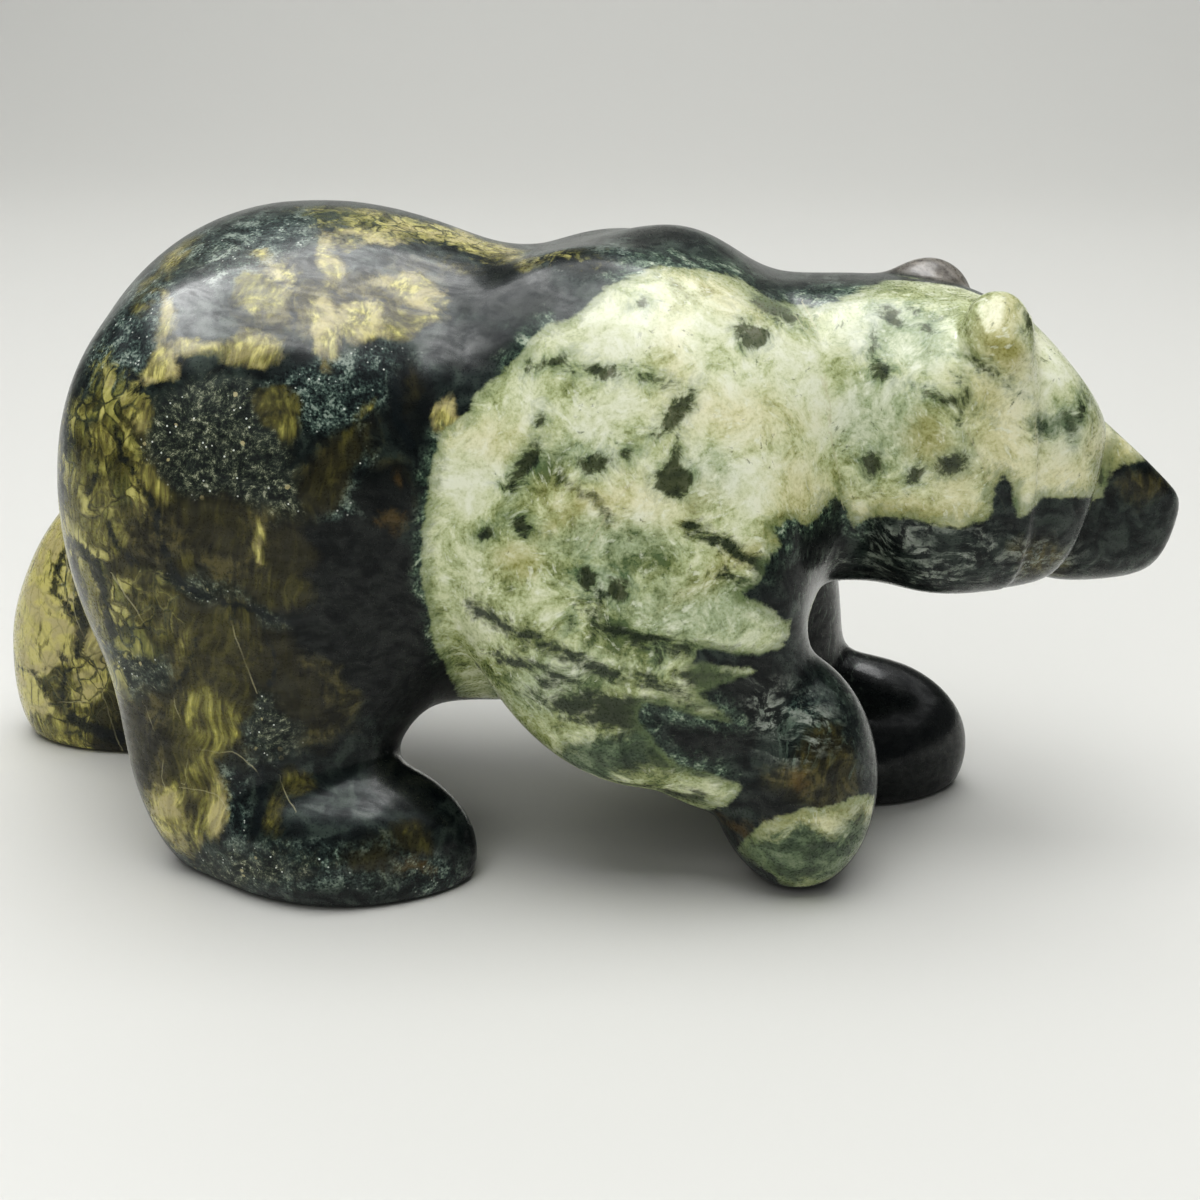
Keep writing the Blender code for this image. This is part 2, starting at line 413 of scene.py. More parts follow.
# The stone's pattern on the side that the photograph shows, in its pixels. A patch is its
# middle, its half width and half height, and its turn in degrees; olive patches then have
# how bright they glow, from 0, brown, to 1, yellow.
nearPattern = dict(
    pale=[
        [
            (440, 434), (452, 426), (466, 412), (480, 390), (500, 372), (523, 350), (547, 325), (577, 313),
            (603, 290), (623, 278), (647, 268), (667, 265), (713, 269), (733, 276), (757, 290), (775, 301),
            (797, 306), (817, 304), (832, 300), (850, 296), (862, 288), (880, 282), (905, 270), (960, 260),
            (1040, 270), (1120, 360), (1125, 420), (1112, 460), (1110, 480), (1100, 497), (1080, 499),
            (1060, 500), (1037, 502), (1027, 511), (1017, 514), (1008, 500), (1012, 480), (1003, 472),
            (995, 482), (988, 500), (992, 517), (980, 522), (970, 524), (960, 527), (942, 525), (920, 522),
            (890, 521), (877, 516),
            (862, 521), (853, 527), (846, 510), (838, 494), (828, 500), (818, 517), (808, 524), (795, 520),
            (775, 527), (782, 545), (768, 565), (757, 583), (742, 594), (770, 608), (790, 622), (786, 640),
            (778, 652), (757, 655), (700, 649), (690, 664), (748, 668), (762, 676), (730, 684), (700, 690),
            (720, 706), (735, 720), (700, 716), (672, 706), (645, 704), (640, 722), (652, 738), (660, 752),
            (678, 764), (700, 767), (722, 776), (742, 786), (735, 800), (640, 830), (480, 740), (440, 660),
            (430, 630), (426, 600), (423, 560), (423, 527), (431, 493), (435, 460),
        ],
        [
            (1109, 405), (1112, 474), (1120, 468), (1127, 464), (1138, 460), (1148, 456), (1160, 430),
            (1130, 400),
        ],
        [
            (762, 822), (790, 812), (810, 806), (835, 806), (855, 797), (885, 793), (885, 870), (800, 900),
            (740, 850), (745, 842),
        ],
    ],
    olive={
        "rimA": (148, 284, 13, 5, 48, 0.6),
        "rimB": (172, 262, 17, 6, 38, 0.72),
        "rimC": (189, 243, 12, 4, 30, 0.6),
        "rimD": (140, 305, 5, 10, 0, 0.5),
        "rimE": (107, 378, 9, 5, 10, 0.75),
        "rimF": (88, 402, 5, 12, -20, 0.55),
        "backSpotA": (260, 253, 9, 5, 5, 0.92),
        "backSpotB": (281, 267, 12, 6, -10, 1.0),
        "backSpotC": (288, 282, 5, 7, 10, 0.9),
        "tanLobe": (327, 262, 9, 25, 5, 0.8),
        "leftLobe": (163, 316, 7, 24, 4, 0.75),
        "bandA": (257, 293, 29, 22, 0, 0.62),
        "bandB": (252, 347, 29, 15, 0, 0.7),
        "bandC": (202, 348, 32, 7, 0, 0.7),
        "bandD": (326, 332, 15, 30, 4, 0.82),
        "bandE": (362, 322, 23, 25, 0, 0.75),
        "bandF": (396, 332, 20, 13, 10, 0.66),
        "bandG": (412, 288, 33, 9, -18, 0.88),
        "bandH": (420, 312, 25, 7, -4, 0.66),
        # The olive streaks along the top of the back are yellow stone; backB to backE are set brighter as a
        # painted reflection there.
        "backA": (370, 212, 17, 4, -5, 0.7),
        "backB": (372, 236, 34, 6, 2, 0.9),
        "backC": (416, 229, 30, 7, -8, 0.92),
        "backD": (456, 238, 36, 8, -12, 0.95),
        "backE": (500, 250, 28, 6, -12, 0.85),
        "backF": (453, 266, 16, 4, -5, 0.45),
        "backG": (520, 262, 16, 3, -8, 0.6),
        "teardrop": (277, 408, 22, 24, 0, 0.42),
        "teardropTip": (285, 425, 13, 18, 8, 0.5),
        "diagonal": (334, 471, 19, 54, -36, 0.26),
        "diagonalGlint": (345, 443, 7, 16, -30, 0.55),
        "smallSpot": (361, 412, 7, 5, 15, 0.62),
        "brightSpot": (446, 416, 11, 20, -5, 0.9),
        "stripe": (411, 388, 7, 20, -5, 0.25),
        "lumpA": (160, 365, 21, 17, 35, 0.85),
        "lumpB": (137, 412, 12, 25, 35, 0.7),
        "lumpC": (103, 440, 12, 24, -15, 0.62),
        "lumpD": (78, 452, 9, 25, -5, 0.55),
        "lumpE": (150, 483, 28, 12, -35, 0.62),
        "lumpF": (124, 458, 14, 18, 0, 0.42),
        "lumpG": (97, 488, 16, 16, 0, 0.52),
        "lumpH": (72, 502, 8, 24, 5, 0.6),
        "lumpI": (98, 530, 14, 20, 20, 0.55),
        "lumpJ": (122, 543, 14, 12, 0, 0.6),
        "lumpK": (122, 513, 14, 14, 0, 0.42),
        "brownA": (213, 523, 48, 26, -28, 0.24),
        "brownB": (135, 570, 26, 14, -30, 0.28),
        "brownC": (184, 561, 13, 15, 25, 0.38),
        "goldStreak": (262, 547, 9, 28, 22, 0.85),
        "brownD": (290, 556, 28, 32, 0, 0.2),
        "brownE": (275, 590, 42, 20, -12, 0.3),
        "backEdge": (92, 598, 11, 32, 18, 0.6),
        "shinA": (165, 615, 34, 34, 0, 0.36),
        "shinB": (225, 655, 42, 60, 0, 0.32),
        "shinStreak": (181, 640, 8, 28, -12, 0.62),
        "shinGold": (212, 716, 32, 50, -4, 0.58),
        "shinYellow": (213, 803, 17, 32, -6, 0.8),
        "heelYellow": (168, 812, 19, 36, 32, 0.84),
        "heelMiddle": (198, 796, 26, 44, -6, 0.6),
        "heelTip": (193, 838, 9, 14, 20, 0.72),
        "lens": (127, 733, 20, 48, 24, 0.16),
        "shinC": (180, 735, 18, 48, 0, 0.4),
        "shinD": (275, 665, 26, 36, 0, 0.18),
        "shinE": (305, 700, 26, 30, 0, 0.16),
        "ankleGold": (296, 782, 18, 12, 0, 0.45),
        "ankleLow": (277, 812, 12, 24, 0, 0.42),
        "footA": (372, 862, 26, 13, 0, 0.22),
        "footB": (412, 840, 24, 14, -25, 0.3),
        "farLegTop": (60, 552, 15, 34, 12, 1.05),
        "farLegMiddle": (36, 632, 26, 46, 8, 1.25),
        "farLegLow": (34, 690, 16, 26, -14, 1.15),
        "farLegFront": (90, 672, 13, 34, -6, 0.78),
        "farLegCell": (57, 686, 14, 18, 0, 0.36),
        "farLegSole": (62, 722, 28, 14, 8, 0.62),
    },
    mottle={
        "rear": (104, 462, 40, 92, -6),
        # The mottled stone along the top of the back: real mottle, made lighter there partly as a painted
        # reflection.
        "back": (440, 231, 100, 12, -9),
        "rearLow": (84, 560, 26, 62, -8),
        "rearShin": (140, 612, 44, 44, 20),
        "farLeg": (85, 700, 38, 48, 10),
    },
    umber={
        "flank": (225, 540, 80, 44, -24),
        "middle": (255, 610, 80, 56, 0),
        "haunch": (292, 560, 54, 60, 0),
        "shin": (225, 690, 84, 74, 0),
        "shinFront": (305, 680, 60, 66, 0),
        "rear": (120, 520, 62, 110, -10),
        "heel": (160, 740, 48, 80, 20),
        "brownPatch": (386, 492, 32, 32, 0),
        "diagonal": (334, 471, 24, 58, -36),
        "foot": (372, 860, 40, 18, 0),
        "foreleg": (828, 770, 34, 40, 0),
        "forelegRust": (798, 782, 30, 20, 0),
        "chin": (1040, 556, 24, 20, 0),
        "muzzle": (1150, 482, 30, 16, 20),
        "back": (240, 262, 60, 16, -6),
        "veil": (345, 302, 100, 30, 8),
    },
    teal={
        "rim": (128, 318, 34, 76, -24),
        "rimTop": (205, 250, 70, 24, -28),
        "top": (268, 236, 52, 20, 8),
        "middle": (330, 392, 60, 38, 6),
        "right": (376, 376, 46, 24, 8),
        "gap": (352, 508, 44, 14, -6),
        "gapRight": (360, 470, 16, 40, 10),
        "crack": (236, 604, 64, 13, -18),
        "crackRight": (318, 596, 16, 30, 12),
        "knee": (132, 668, 34, 24, 0),
        "shinFront": (272, 722, 28, 40, -10),
        "heelLine": (236, 812, 12, 50, 6),
        "foot": (292, 868, 128, 26, 2),
        "footTip": (430, 872, 40, 20, -30),
        "foreleg": (800, 705, 20, 14, -20),
        "shoulderEdge": (610, 262, 90, 18, -12),
        "neckEdge": (850, 288, 52, 12, 3),
        "farLeg": (62, 585, 16, 22, 0),
    },
    black={
        "flank": (350, 590, 75, 80, 0),
        "flankLow": (400, 660, 62, 60, 0),
        "slot": (410, 405, 26, 46, 0),
        "brownPatch": (388, 492, 32, 30, 0),
        "belly": (470, 690, 70, 26, 0),
        "footFront": (410, 770, 46, 46, 0),
        "waist": (505, 290, 60, 34, -10),
        "waistLow": (470, 345, 40, 26, 0),
        "hump": (650, 230, 90, 12, 6),
        "humpBack": (575, 256, 46, 18, -18),
        "neckTop": (860, 278, 90, 7, 3),
        "elbow": (700, 738, 44, 22, 10),
        "elbowTop": (752, 690, 34, 34, 0),
        "forelegLow": (776, 806, 34, 14, -8),
        "throat": (810, 560, 40, 44, 0),
        "farFoot": (95, 748, 44, 12, -4),
    },
    coarse={
        "flank": (218, 440, 72, 62, 14),
        "flankRight": (268, 486, 46, 26, -30),
        "knee": (133, 667, 28, 22, 0),
        "shinFront": (276, 722, 26, 34, 0),
        "crack": (235, 605, 56, 9, -20),
        "foot": (250, 868, 66, 18, 4),
    },
    frill={
        "back": (520, 330, 64, 40, -40),
        "hump": (660, 266, 100, 20, -4),
        "neck": (850, 296, 60, 14, 4),
        "flank": (434, 540, 20, 110, 0),
        "elbow": (812, 545, 60, 46, 20),
        "fold": (590, 690, 110, 26, -12),
        "sole": (690, 740, 60, 50, 0),
    },
    ochre={
        "earBulge": (1001, 350, 20, 24, 0),
        "earRim": (1015, 306, 8, 11, 0),
        "jawEdge": (935, 514, 56, 8, 0),
        "muzzle": (1120, 462, 26, 10, -30),
        "pawRust": (782, 822, 34, 9, 10),
        "neckOlive": (925, 440, 22, 30, 0),
        "shoulderTop": (765, 312, 22, 14, 30),
        "leftLow": (520, 560, 24, 16, 0),
        "stripeA": (560, 520, 40, 7, 30),
        "stripeB": (740, 560, 60, 9, 30),
    },
    # Dark sage: dark green stone on the jaw and brow, and painted shade in the same dark sage at the paw and
    # elbow.
    mossAndShade={
        "jawWedge": (1004, 500, 12, 14, 0),
        "brow": (1054, 426, 17, 9, 8),
        "pawTip": (806, 856, 66, 27, 0),
        "pawSide": (860, 835, 20, 24, 0),
        "elbow": (600, 760, 90, 20, 16),
    },
    sea={
        "upper": (560, 455, 50, 16, 6),
        "heart": (700, 480, 34, 30, 0),
        "middle": (620, 540, 60, 30, 0),
        "low": (690, 610, 90, 34, 4),
        "eyes": (604, 580, 34, 24, 0),
        "fold": (560, 680, 60, 26, 14),
        "neck": (885, 420, 50, 44, 0),
        "neckTop": (905, 335, 60, 34, 0),
        "brow": (1065, 430, 34, 28, 0),
        "neckLow": (960, 462, 34, 26, 0),
    },
    warm={
        "left": (490, 440, 30, 14, 0),
        "middle": (630, 500, 60, 20, 0),
        "underEar": (985, 400, 34, 30, 0),
        "shoulderFront": (800, 492, 26, 32, 0),
        "shoulderMiddle": (735, 415, 56, 22, -8),
        "vein": (676, 375, 9, 46, 0),
        "shoulderTop": (725, 290, 50, 16, -20),
        "ear": (1002, 348, 28, 34, 0),
        "earFront": (1012, 312, 14, 20, 0),
        "cheek": (1062, 476, 48, 24, 0),
        "cheekBack": (1005, 440, 30, 60, 0),
        "jawLine": (910, 508, 62, 14, 0),
        "neckLow": (955, 485, 24, 40, 0),
        "muzzle": (1125, 448, 34, 40, 0),
        "paw": (820, 818, 62, 13, 4),
    },
    # Patches where the pale stone is painted darker: painted shade low on the belly, elbow, shoulder and paw
    # tip, and a darker tone across the shoulder top and neck.
    shade={
        "belly": (560, 640, 140, 90, -12),
        "elbow": (620, 740, 90, 60, -20),
        "middle": (680, 560, 90, 50, -10),
        "top": (680, 292, 110, 26, 4),
        "topFront": (905, 290, 60, 16, 4),
        "neck": (915, 340, 70, 50, 0),
        "neckMiddle": (920, 420, 60, 60, 0),
        "pawTip": (805, 855, 60, 26, 0),
        "lowShoulder": (580, 520, 90, 60, 0),
    },
    spots={
        "pairA": (604, 372, 20, 6, -6),
        "pairB": (650, 380, 17, 4, -10),
        "left": (553, 363, 13, 5, 10),
        "leftEdge": (530, 367, 5, 8, 0),
        "leaf": (679, 410, 9, 21, -32),
        "leafStem": (663, 430, 10, 5, 35),
        "tick": (538, 418, 4, 6, -20),
        "oliveA": (596, 463, 15, 8, 5),
        "oliveB": (625, 457, 7, 4, 30),
        "heart": (672, 478, 20, 17, 25),
        "heartTop": (677, 455, 4, 12, 0),
        "streakA": (527, 462, 9, 20, -28),
        "streakB": (512, 488, 8, 6, 0),
        "oliveC": (520, 525, 13, 7, -22),
        "oliveD": (487, 533, 8, 6, 15),
        "eyeA": (587, 581, 9, 13, 10),
        "eyeB": (619, 588, 11, 11, 0),
        "greyTop": (754, 338, 13, 12, 0),
        "greySide": (742, 328, 6, 8, 0),
        "dot": (640, 303, 5, 3, 0),
        "dotLow": (568, 623, 4, 5, 0),
        "dotMid": (656, 657, 5, 9, 0),
        "underHump": (775, 311, 28, 9, -28),
        "neckA": (889, 317, 14, 8, -28),
        "neckB": (916, 310, 6, 3, -20),
        "neckC": (924, 331, 6, 4, -20),
        "neckD": (872, 345, 4, 10, 0),
        "neckE": (882, 372, 9, 8, 0),
        "neckF": (944, 397, 20, 4, -22),
        "neckG": (871, 465, 9, 11, 0),
        "neckH": (915, 476, 9, 10, -30),
        "neckI": (952, 462, 15, 9, 20),
        "neckEdge": (962, 402, 3, 12, 0),
        "browA": (1044, 427, 6, 7, 0),
        "browB": (1069, 424, 7, 12, 20),
        "browC": (1081, 409, 4, 12, -10),
        "browD": (1100, 397, 3, 8, 15),
        "earEdge": (1026, 320, 3, 10, 8),
        "earShadow": (988, 374, 16, 4, -30),
        "jawEdge": (1104, 475, 4, 8, 0),
        "pawA": (790, 838, 8, 6, 0),
        "pawB": (835, 850, 9, 5, 20),
    },
    rust={
        "rustA": (398, 478, 6, 6, 0),
        "rustB": (392, 523, 11, 8, 0),
        "rustC": (418, 868, 13, 7, -10),
        "rustD": (799, 781, 12, 9, -40),
        "rustE": (733, 828, 20, 7, -35),
        "rustF": (780, 823, 16, 6, 8),
    },
    wisps={
        "jaw": (925, 553, 80, 32, 0),
        "jawBack": (890, 550, 44, 28, 0),
        "chin": (1035, 556, 30, 12, 0),
        "elbow": (790, 724, 44, 34, -30),
    },
    # Painted light: patches where the pale stone is painted lighter, under the ear, on the cheek and muzzle,
    # and on the shoulder.
    light={
        "underEar": (1005, 415, 34, 50, 0),
        "cheek": (1060, 475, 44, 24, 0),
        "muzzle": (1118, 445, 40, 30, 0),
        "shoulder": (640, 320, 70, 40, 0),
    },
    dull={
        "waist": (505, 312, 62, 60, -30),
        "hump": (575, 262, 66, 38, -14),
        "neckTop": (905, 335, 60, 40, 0),
        "headTop": (985, 300, 30, 20, 0),
        "foot": (340, 794, 44, 24, 10),
        "rear": (140, 330, 26, 60, 20),
    },
    strands={
        "throat": (828, 596, 32, 66, 26),
        "forelegEdge": (846, 668, 20, 60, -16),
        "elbow": (800, 735, 40, 30, -30),
        "elbowLow": (852, 760, 16, 44, 0),
    },
)

# Dark streaks in the pale stone and light veins in all of it: the line and its half width.
nearStreaks = {
    "fold": ([(650, 640), (690, 648), (735, 654), (785, 660)], 6),
    "foldUnder": ([(700, 676), (745, 690), (775, 700)], 15),
    "foldLow": ([(560, 701), (610, 707), (660, 712), (690, 726), (750, 744)], 10),
    "foldWide": ([(610, 712), (660, 726), (700, 742), (750, 752)], 15),
    "sweepA": ([(690, 525), (730, 548), (790, 582)], 7),
    "sweepB": ([(580, 608), (610, 628), (645, 643)], 5),
    "sweepC": ([(470, 606), (500, 622), (540, 645), (600, 668), (650, 680)], 6),
    "sweepD": ([(540, 684), (580, 690), (612, 696)], 4.5),
    "sweepE": ([(500, 655), (540, 668), (580, 682)], 5),
    "sweepF": ([(676, 673), (720, 678), (770, 684)], 5),
    "sweepG": ([(560, 480), (590, 495), (610, 520)], 3.5),
    "sweepH": ([(600, 590), (600, 620), (590, 640)], 3),
    "sweepI": ([(560, 760), (640, 790), (700, 800)], 4),
    "sweepJ": ([(660, 697), (690, 702), (730, 703)], 4),
    "sweepK": ([(725, 575), (760, 592), (790, 600)], 6),
    "sweepL": ([(585, 668), (640, 684), (700, 694)], 3),
    "sweepM": ([(560, 716), (620, 730), (680, 744)], 4),
    "sweepN": ([(520, 690), (575, 712), (640, 732)], 3.5),
    "sweepO": ([(600, 746), (660, 762), (730, 772)], 5),
    "sweepP": ([(640, 703), (700, 713), (760, 720)], 5),
}
nearVeins = {
    "neckFront": ([(803, 302), (812, 318), (819, 342), (826, 380), (832, 425), (838, 470), (843, 510)], 0.9),
    "neckBack": ([(797, 318), (812, 345), (822, 380), (829, 430)], 0.6),
    "cheek": ([(968, 430), (982, 458), (995, 490), (1003, 508)], 0.8),
    "earLine": ([(1031, 335), (1033, 380), (1037, 420), (1035, 470), (1033, 498)], 0.7),
    "shinA": ([(113, 575), (125, 592), (138, 612), (147, 632), (152, 652)], 1.0),
    "shinB": ([(163, 665), (172, 690), (180, 718), (187, 745), (186, 775)], 0.9),
    "shinC": ([(145, 703), (153, 730), (162, 752), (165, 785)], 0.6),
    "shinD": ([(195, 749), (215, 754), (235, 753), (252, 764), (258, 774)], 0.8),
    "shinE": ([(183, 787), (200, 788), (218, 795), (226, 806)], 0.7),
    "shinF": ([(230, 620), (238, 645), (250, 675), (256, 692)], 1.0),
    "ankle": ([(279, 778), (287, 795), (296, 808)], 0.8),
    "shoulderA": ([(655, 440), (640, 470), (615, 505), (588, 545)], 1.3),
    "shoulderB": ([(612, 420), (668, 438), (668, 470)], 0.5),
    "rearRim": ([(63, 520), (70, 575), (80, 625), (97, 680), (113, 725), (135, 775)], 0.8),
    "farLeg": ([(44, 704), (70, 702), (98, 700)], 0.6),
}
# Dark cracks through the olive stone: the line and its half width.
nearCracks = {
    "farLegA": ([(70, 540), (58, 575), (50, 590), (62, 600), (75, 612)], 3.5),
    "farLegB": ([(72, 560), (80, 590), (84, 620), (78, 655)], 4.5),
    "farLegC": ([(20, 668), (40, 672), (55, 664), (62, 650)], 1.2),
    "farLegD": ([(62, 650), (68, 670), (60, 690), (72, 712)], 2.6),
    "farLegE": ([(40, 672), (44, 690), (50, 705)], 1.0),
    "farLegF": ([(72, 718), (92, 730), (120, 738)], 6),
    "rearA": ([(75, 545), (90, 560), (100, 580), (108, 610), (112, 634)], 5),
    "rearB": ([(150, 500), (160, 540), (175, 575), (195, 592)], 3.4),
    "rearC": ([(105, 520), (115, 545), (140, 565)], 2.4),
    "rearD": ([(118, 425), (122, 455), (150, 500)], 2.6),
    "rearE": ([(88, 420), (96, 462), (88, 512)], 1.8),
    "flankA": ([(190, 588), (215, 600), (235, 606), (262, 610), (275, 618)], 3),
    "flankB": ([(232, 606), (232, 626), (238, 645)], 1.8),
    "flankC": ([(262, 618), (290, 622), (315, 600)], 1.8),
    "shinA": ([(268, 640), (275, 664), (268, 690)], 1.4),
    "shinB": ([(236, 752), (240, 785), (236, 822)], 1.8),
    "shinC": ([(196, 640), (188, 668), (170, 690)], 1.4),
    "ankle": ([(258, 770), (262, 800), (256, 830)], 5),
    "bandA": ([(300, 262), (322, 290), (350, 296), (385, 302), (430, 312)], 1.6),
    "bandB": ([(296, 300), (292, 330), (286, 352)], 3),
    "slot": ([(392, 380), (398, 420), (410, 446)], 5),
}

# The side that the photograph doesn't show, in millimetres along X and up, laid out in keeping.
farPattern = dict(
    pale=[
        [
            (-5, 60), (2, 67), (9, 66), (15, 71), (27, 70), (33, 65), (43, 65), (52, 58), (50, 50), (42, 47),
            (46, 41), (39, 37), (43, 31), (34, 28), (36, 21), (26, 17), (17, 19), (10, 17), (5, 24), (-1, 27),
            (-1, 36), (-8, 42), (-5, 50),
        ],
        [(60, 66), (68, 68), (80, 66), (86, 58), (80, 53), (72, 55), (64, 54)],
    ],
    olive={
        "rumpA": (-52, 70, 6, 9, -20, 0.6),
        "rumpB": (-60, 56, 4, 7, 0, 0.75),
        "rumpC": (-40, 62, 5, 9, 30, 0.35),
        "rumpD": (-26, 70, 9, 5, 10, 0.25),
        "rumpE": (-30, 50, 7, 9, 0, 0.22),
        "rumpF": (-48, 45, 6, 10, -25, 0.4),
        "backA": (-20, 86, 8, 1.5, 4, 0.7),
        "backB": (-38, 88, 6, 2, 0, 0.6),
        "backC": (-6, 78, 7, 2, -5, 0.5),
        "ribs": (-12, 55, 5, 8, 20, 0.2),
        "haunch": (-66, 40, 5, 9, 10, 0.6),
    },
    black={"ribs": (-8, 50, 12, 14, 0), "neck": (50, 62, 22, 14, 0), "paw": (45, 12, 20, 16, 0)},
    coarse={"rump": (-45, 58, 12, 10, 0), "back": (-50, 80, 14, 6, 30)},
    umber={"rump": (-48, 50, 16, 18, 0), "haunch": (-60, 30, 12, 16, 0), "ribs": (-24, 56, 10, 12, 0)},
    mottle={
        "rear": (-60, 52, 8, 14, 6),
        "haunch": (-64, 36, 8, 12, 10),
        "ribs": (-14, 62, 8, 7, 20),
        "hock": (-74, 18, 7, 9, 20),
        "foot": (-52, 10, 9, 5, -10),
    },
    teal={
        "back": (-30, 80, 26, 6, 6),
        "rump": (-38, 52, 14, 8, -20),
        "edge": (20, 70, 20, 5, 0),
        "paw": (50, 10, 9, 5, 0),
    },
    frill={"shoulder": (16, 62, 20, 6, 0), "ribs": (-6, 44, 5, 14, 0)},
    ochre={"shoulder": (22, 40, 8, 3, 30)},
    # Painted shade in dark sage at the elbow.
    mossAndShade={"elbow": (18, 26, 9, 3, 0)},
    sea={"shoulder": (8, 40, 9, 6, 0), "top": (26, 58, 8, 5, 0), "front": (38, 40, 6, 8, 0)},
    warm={"shoulder": (18, 53, 9, 5, 20), "low": (22, 26, 8, 4, 0), "muzzle": (95, 50, 8, 6, 0)},
    # Painted shade: the pale stone painted darker under the belly and at the front, and a darker tone along
    # the top.
    shade={"belly": (12, 30, 24, 12, 0), "front": (36, 44, 10, 16, 0), "top": (20, 66, 20, 6, 0)},
    spots={
        "topA": (3, 58, 2.6, 0.8, 20),
        "topB": (9, 60, 1.4, 0.6, 10),
        "topC": (29, 62, 2.6, 0.9, -30),
        "front": (38, 52, 0.9, 2.6, 15),
        "heart": (20, 46, 3.0, 1.2, 34),
        "heartTail": (14, 43, 1.6, 0.7, 30),
        "low": (29, 36, 1.0, 2.2, -24),
        "rear": (1, 45, 0.8, 2.4, -15),
        "under": (14, 32, 2.2, 0.7, 12),
        "cheek": (72, 61, 2.2, 1.0, 20),
    },
    rust={"a": (-18, 44, 1.6, 1.2, 0)},
    # Painted light: the pale stone painted lighter on the shoulder.
    light={"shoulder": (14, 58, 8, 6, 0)},
    dull={"neck": (60, 80, 12, 8, 0)},
    wisps={"neck": (56, 60, 14, 8, 0)},
    strands={"foreleg": (36, 30, 8, 14, 0), "cheek": (72, 52, 8, 8, 0)},
)

farStreaks = {
    "foldHigh": ([(-2, 35), (10, 33), (22, 30), (36, 29)], 0.9),
    "foldLow": ([(3, 28), (16, 25), (32, 23)], 1.4),
    "rear": ([(-6, 47), (4, 42), (13, 38)], 0.6),
    "sweep": ([(24, 44), (34, 39), (44, 36)], 0.9),
    "elbow": ([(12, 22), (22, 21), (32, 19)], 0.7),
}
farCracks = {
    "hockA": ([(-70, 44), (-76, 34), (-72, 24), (-78, 12)], 0.5),
    "hockB": ([(-84, 36), (-78, 28), (-66, 24), (-56, 26)], 0.4),
    "ankle": ([(-72, 20), (-62, 14), (-50, 16)], 0.6),
    "haunch": ([(-56, 60), (-62, 50), (-58, 40), (-66, 30)], 0.6),
}

# Forms whose stone the side patterns don't reach, in millimetres: middle and half sizes. The
# far hind leg is olive stone, the far foreleg is black, the far ear is black stone painted
# lighter grey-brown as a painted sheen, and the other two pale.
wholeForms = dict(
    farHindLeg=dict(at=(-78, 24, 26), half=(26, 17, 36)),
    farForeleg=dict(at=(48, 16, 12), half=(26, 16, 34)),
    farEar=dict(at=(58, 13, 84), half=(12, 9, 12)),
    nearEar=dict(at=(64, -18, 80), half=(8, 8, 10)),
    brow=dict(at=(79, -8, 76), half=(15, 13, 11)),
)
legStone = dict(strays=1.6, olive=6, glow=0.62, glowAcross=0.02, glowUp=0.03)
pixelSize = 0.15  # millimetres, at the carving's distance
veinLimit = 20  # half widths to either side
noVein = 9.0  # where no vein is near
wander = [dict(size=5, reach=11), dict(size=1.7, reach=4.5)]  # how patches stray: millimetres, pixels
glowSoftness = 1.5  # how patches' brightness runs together

swingShifts = [(0, 0, 0), (31.7, 0, 0), (0, 57.3, 0)]  # so that a swing's three parts differ
grainBends = [dict(size=7, reach=1.5), dict(size=3.5, reach=0.7)]  # millimetres
grainTwist = dict(size=2.2, reach=1.1)
slowSizes = dict(cloud=8, where=6, patchy=5, lumps=2.6)
slowShares = [(1, 0.34), (2, 0.17)]  # each octave's fineness and share


def closeToPatch(across, up, patch):
    # above 0 inside the patch, 0 on its edge
    x, y, halfAcross, halfUp, turn = patch[:5]
    c, s = cos(radians(turn)), sin(radians(turn))
    u = (across - x) * c + (up - y) * s
    v = (up - y) * c - (across - x) * s
    return (1 - np.hypot(u / halfAcross, v / halfUp)) * min(halfAcross, halfUp)


def closeToAny(across, up, patches):
    return np.max([closeToPatch(across, up, patch) for patch in patches.values()], axis=0)


def closeToOutline(across, up, outline):
    nearest, _ = awayFromLine(across, up, outline + outline[:1])
    inside = np.zeros(len(across), bool)
    for (x0, y0), (x1, y1) in zip(outline, outline[1:] + outline[:1]):
        crosses = (y0 > up) != (y1 > up)
        inside ^= crosses & (across < x0 + (up - y0) * (x1 - x0) / (y1 - y0 + 1e-9))
    return np.where(inside, nearest, -nearest)


def glowOf(across, up, patches):
    # each patch's brightness, run softly into its neighbours'
    close = np.array([closeToPatch(across, up, patch) for patch in patches.values()])
    close -= close.max(axis=0)
    weight = np.exp(close / glowSoftness)
    glow = np.array([patch[5] for patch in patches.values()])
    return (weight * glow[:, None]).sum(axis=0) / weight.sum(axis=0)


def swings(points, size):
    # a smooth swing in each of three directions, the same on every run
    places = [Vector(point) / size for point in points]
    return np.array([[noise.noise(place + Vector(shift)) for place in places] for shift in swingShifts]).T


def driftOf(points):
    # how far each place strays, in pixels, so that no patch keeps a drawn edge
    drift = np.zeros((len(points), 3))
    for stray in wander:
        drift += stray["reach"] * swings(points, stray["size"])
    return drift[:, 0], drift[:, 2]


def sideFields(across, up, drift, pattern, size):
    # how close each place is to each kind of stone, in millimetres
    strayed = across + drift[0], up + drift[1]
    slightly = across + drift[0] / 2, up + drift[1] / 2
    strayKinds = [kind for kind in pattern if kind not in ("pale", "spots")]
    fields = {kind: closeToAny(*strayed, pattern[kind]) * size for kind in strayKinds}
    fields["spots"] = closeToAny(*slightly, pattern["spots"]) * size
    outlines = [closeToOutline(*slightly, outline) for outline in pattern["pale"]]
    fields["pale"] = np.max(outlines, axis=0) * size
    fields["glow"] = glowOf(*strayed, pattern["olive"])
    return fields


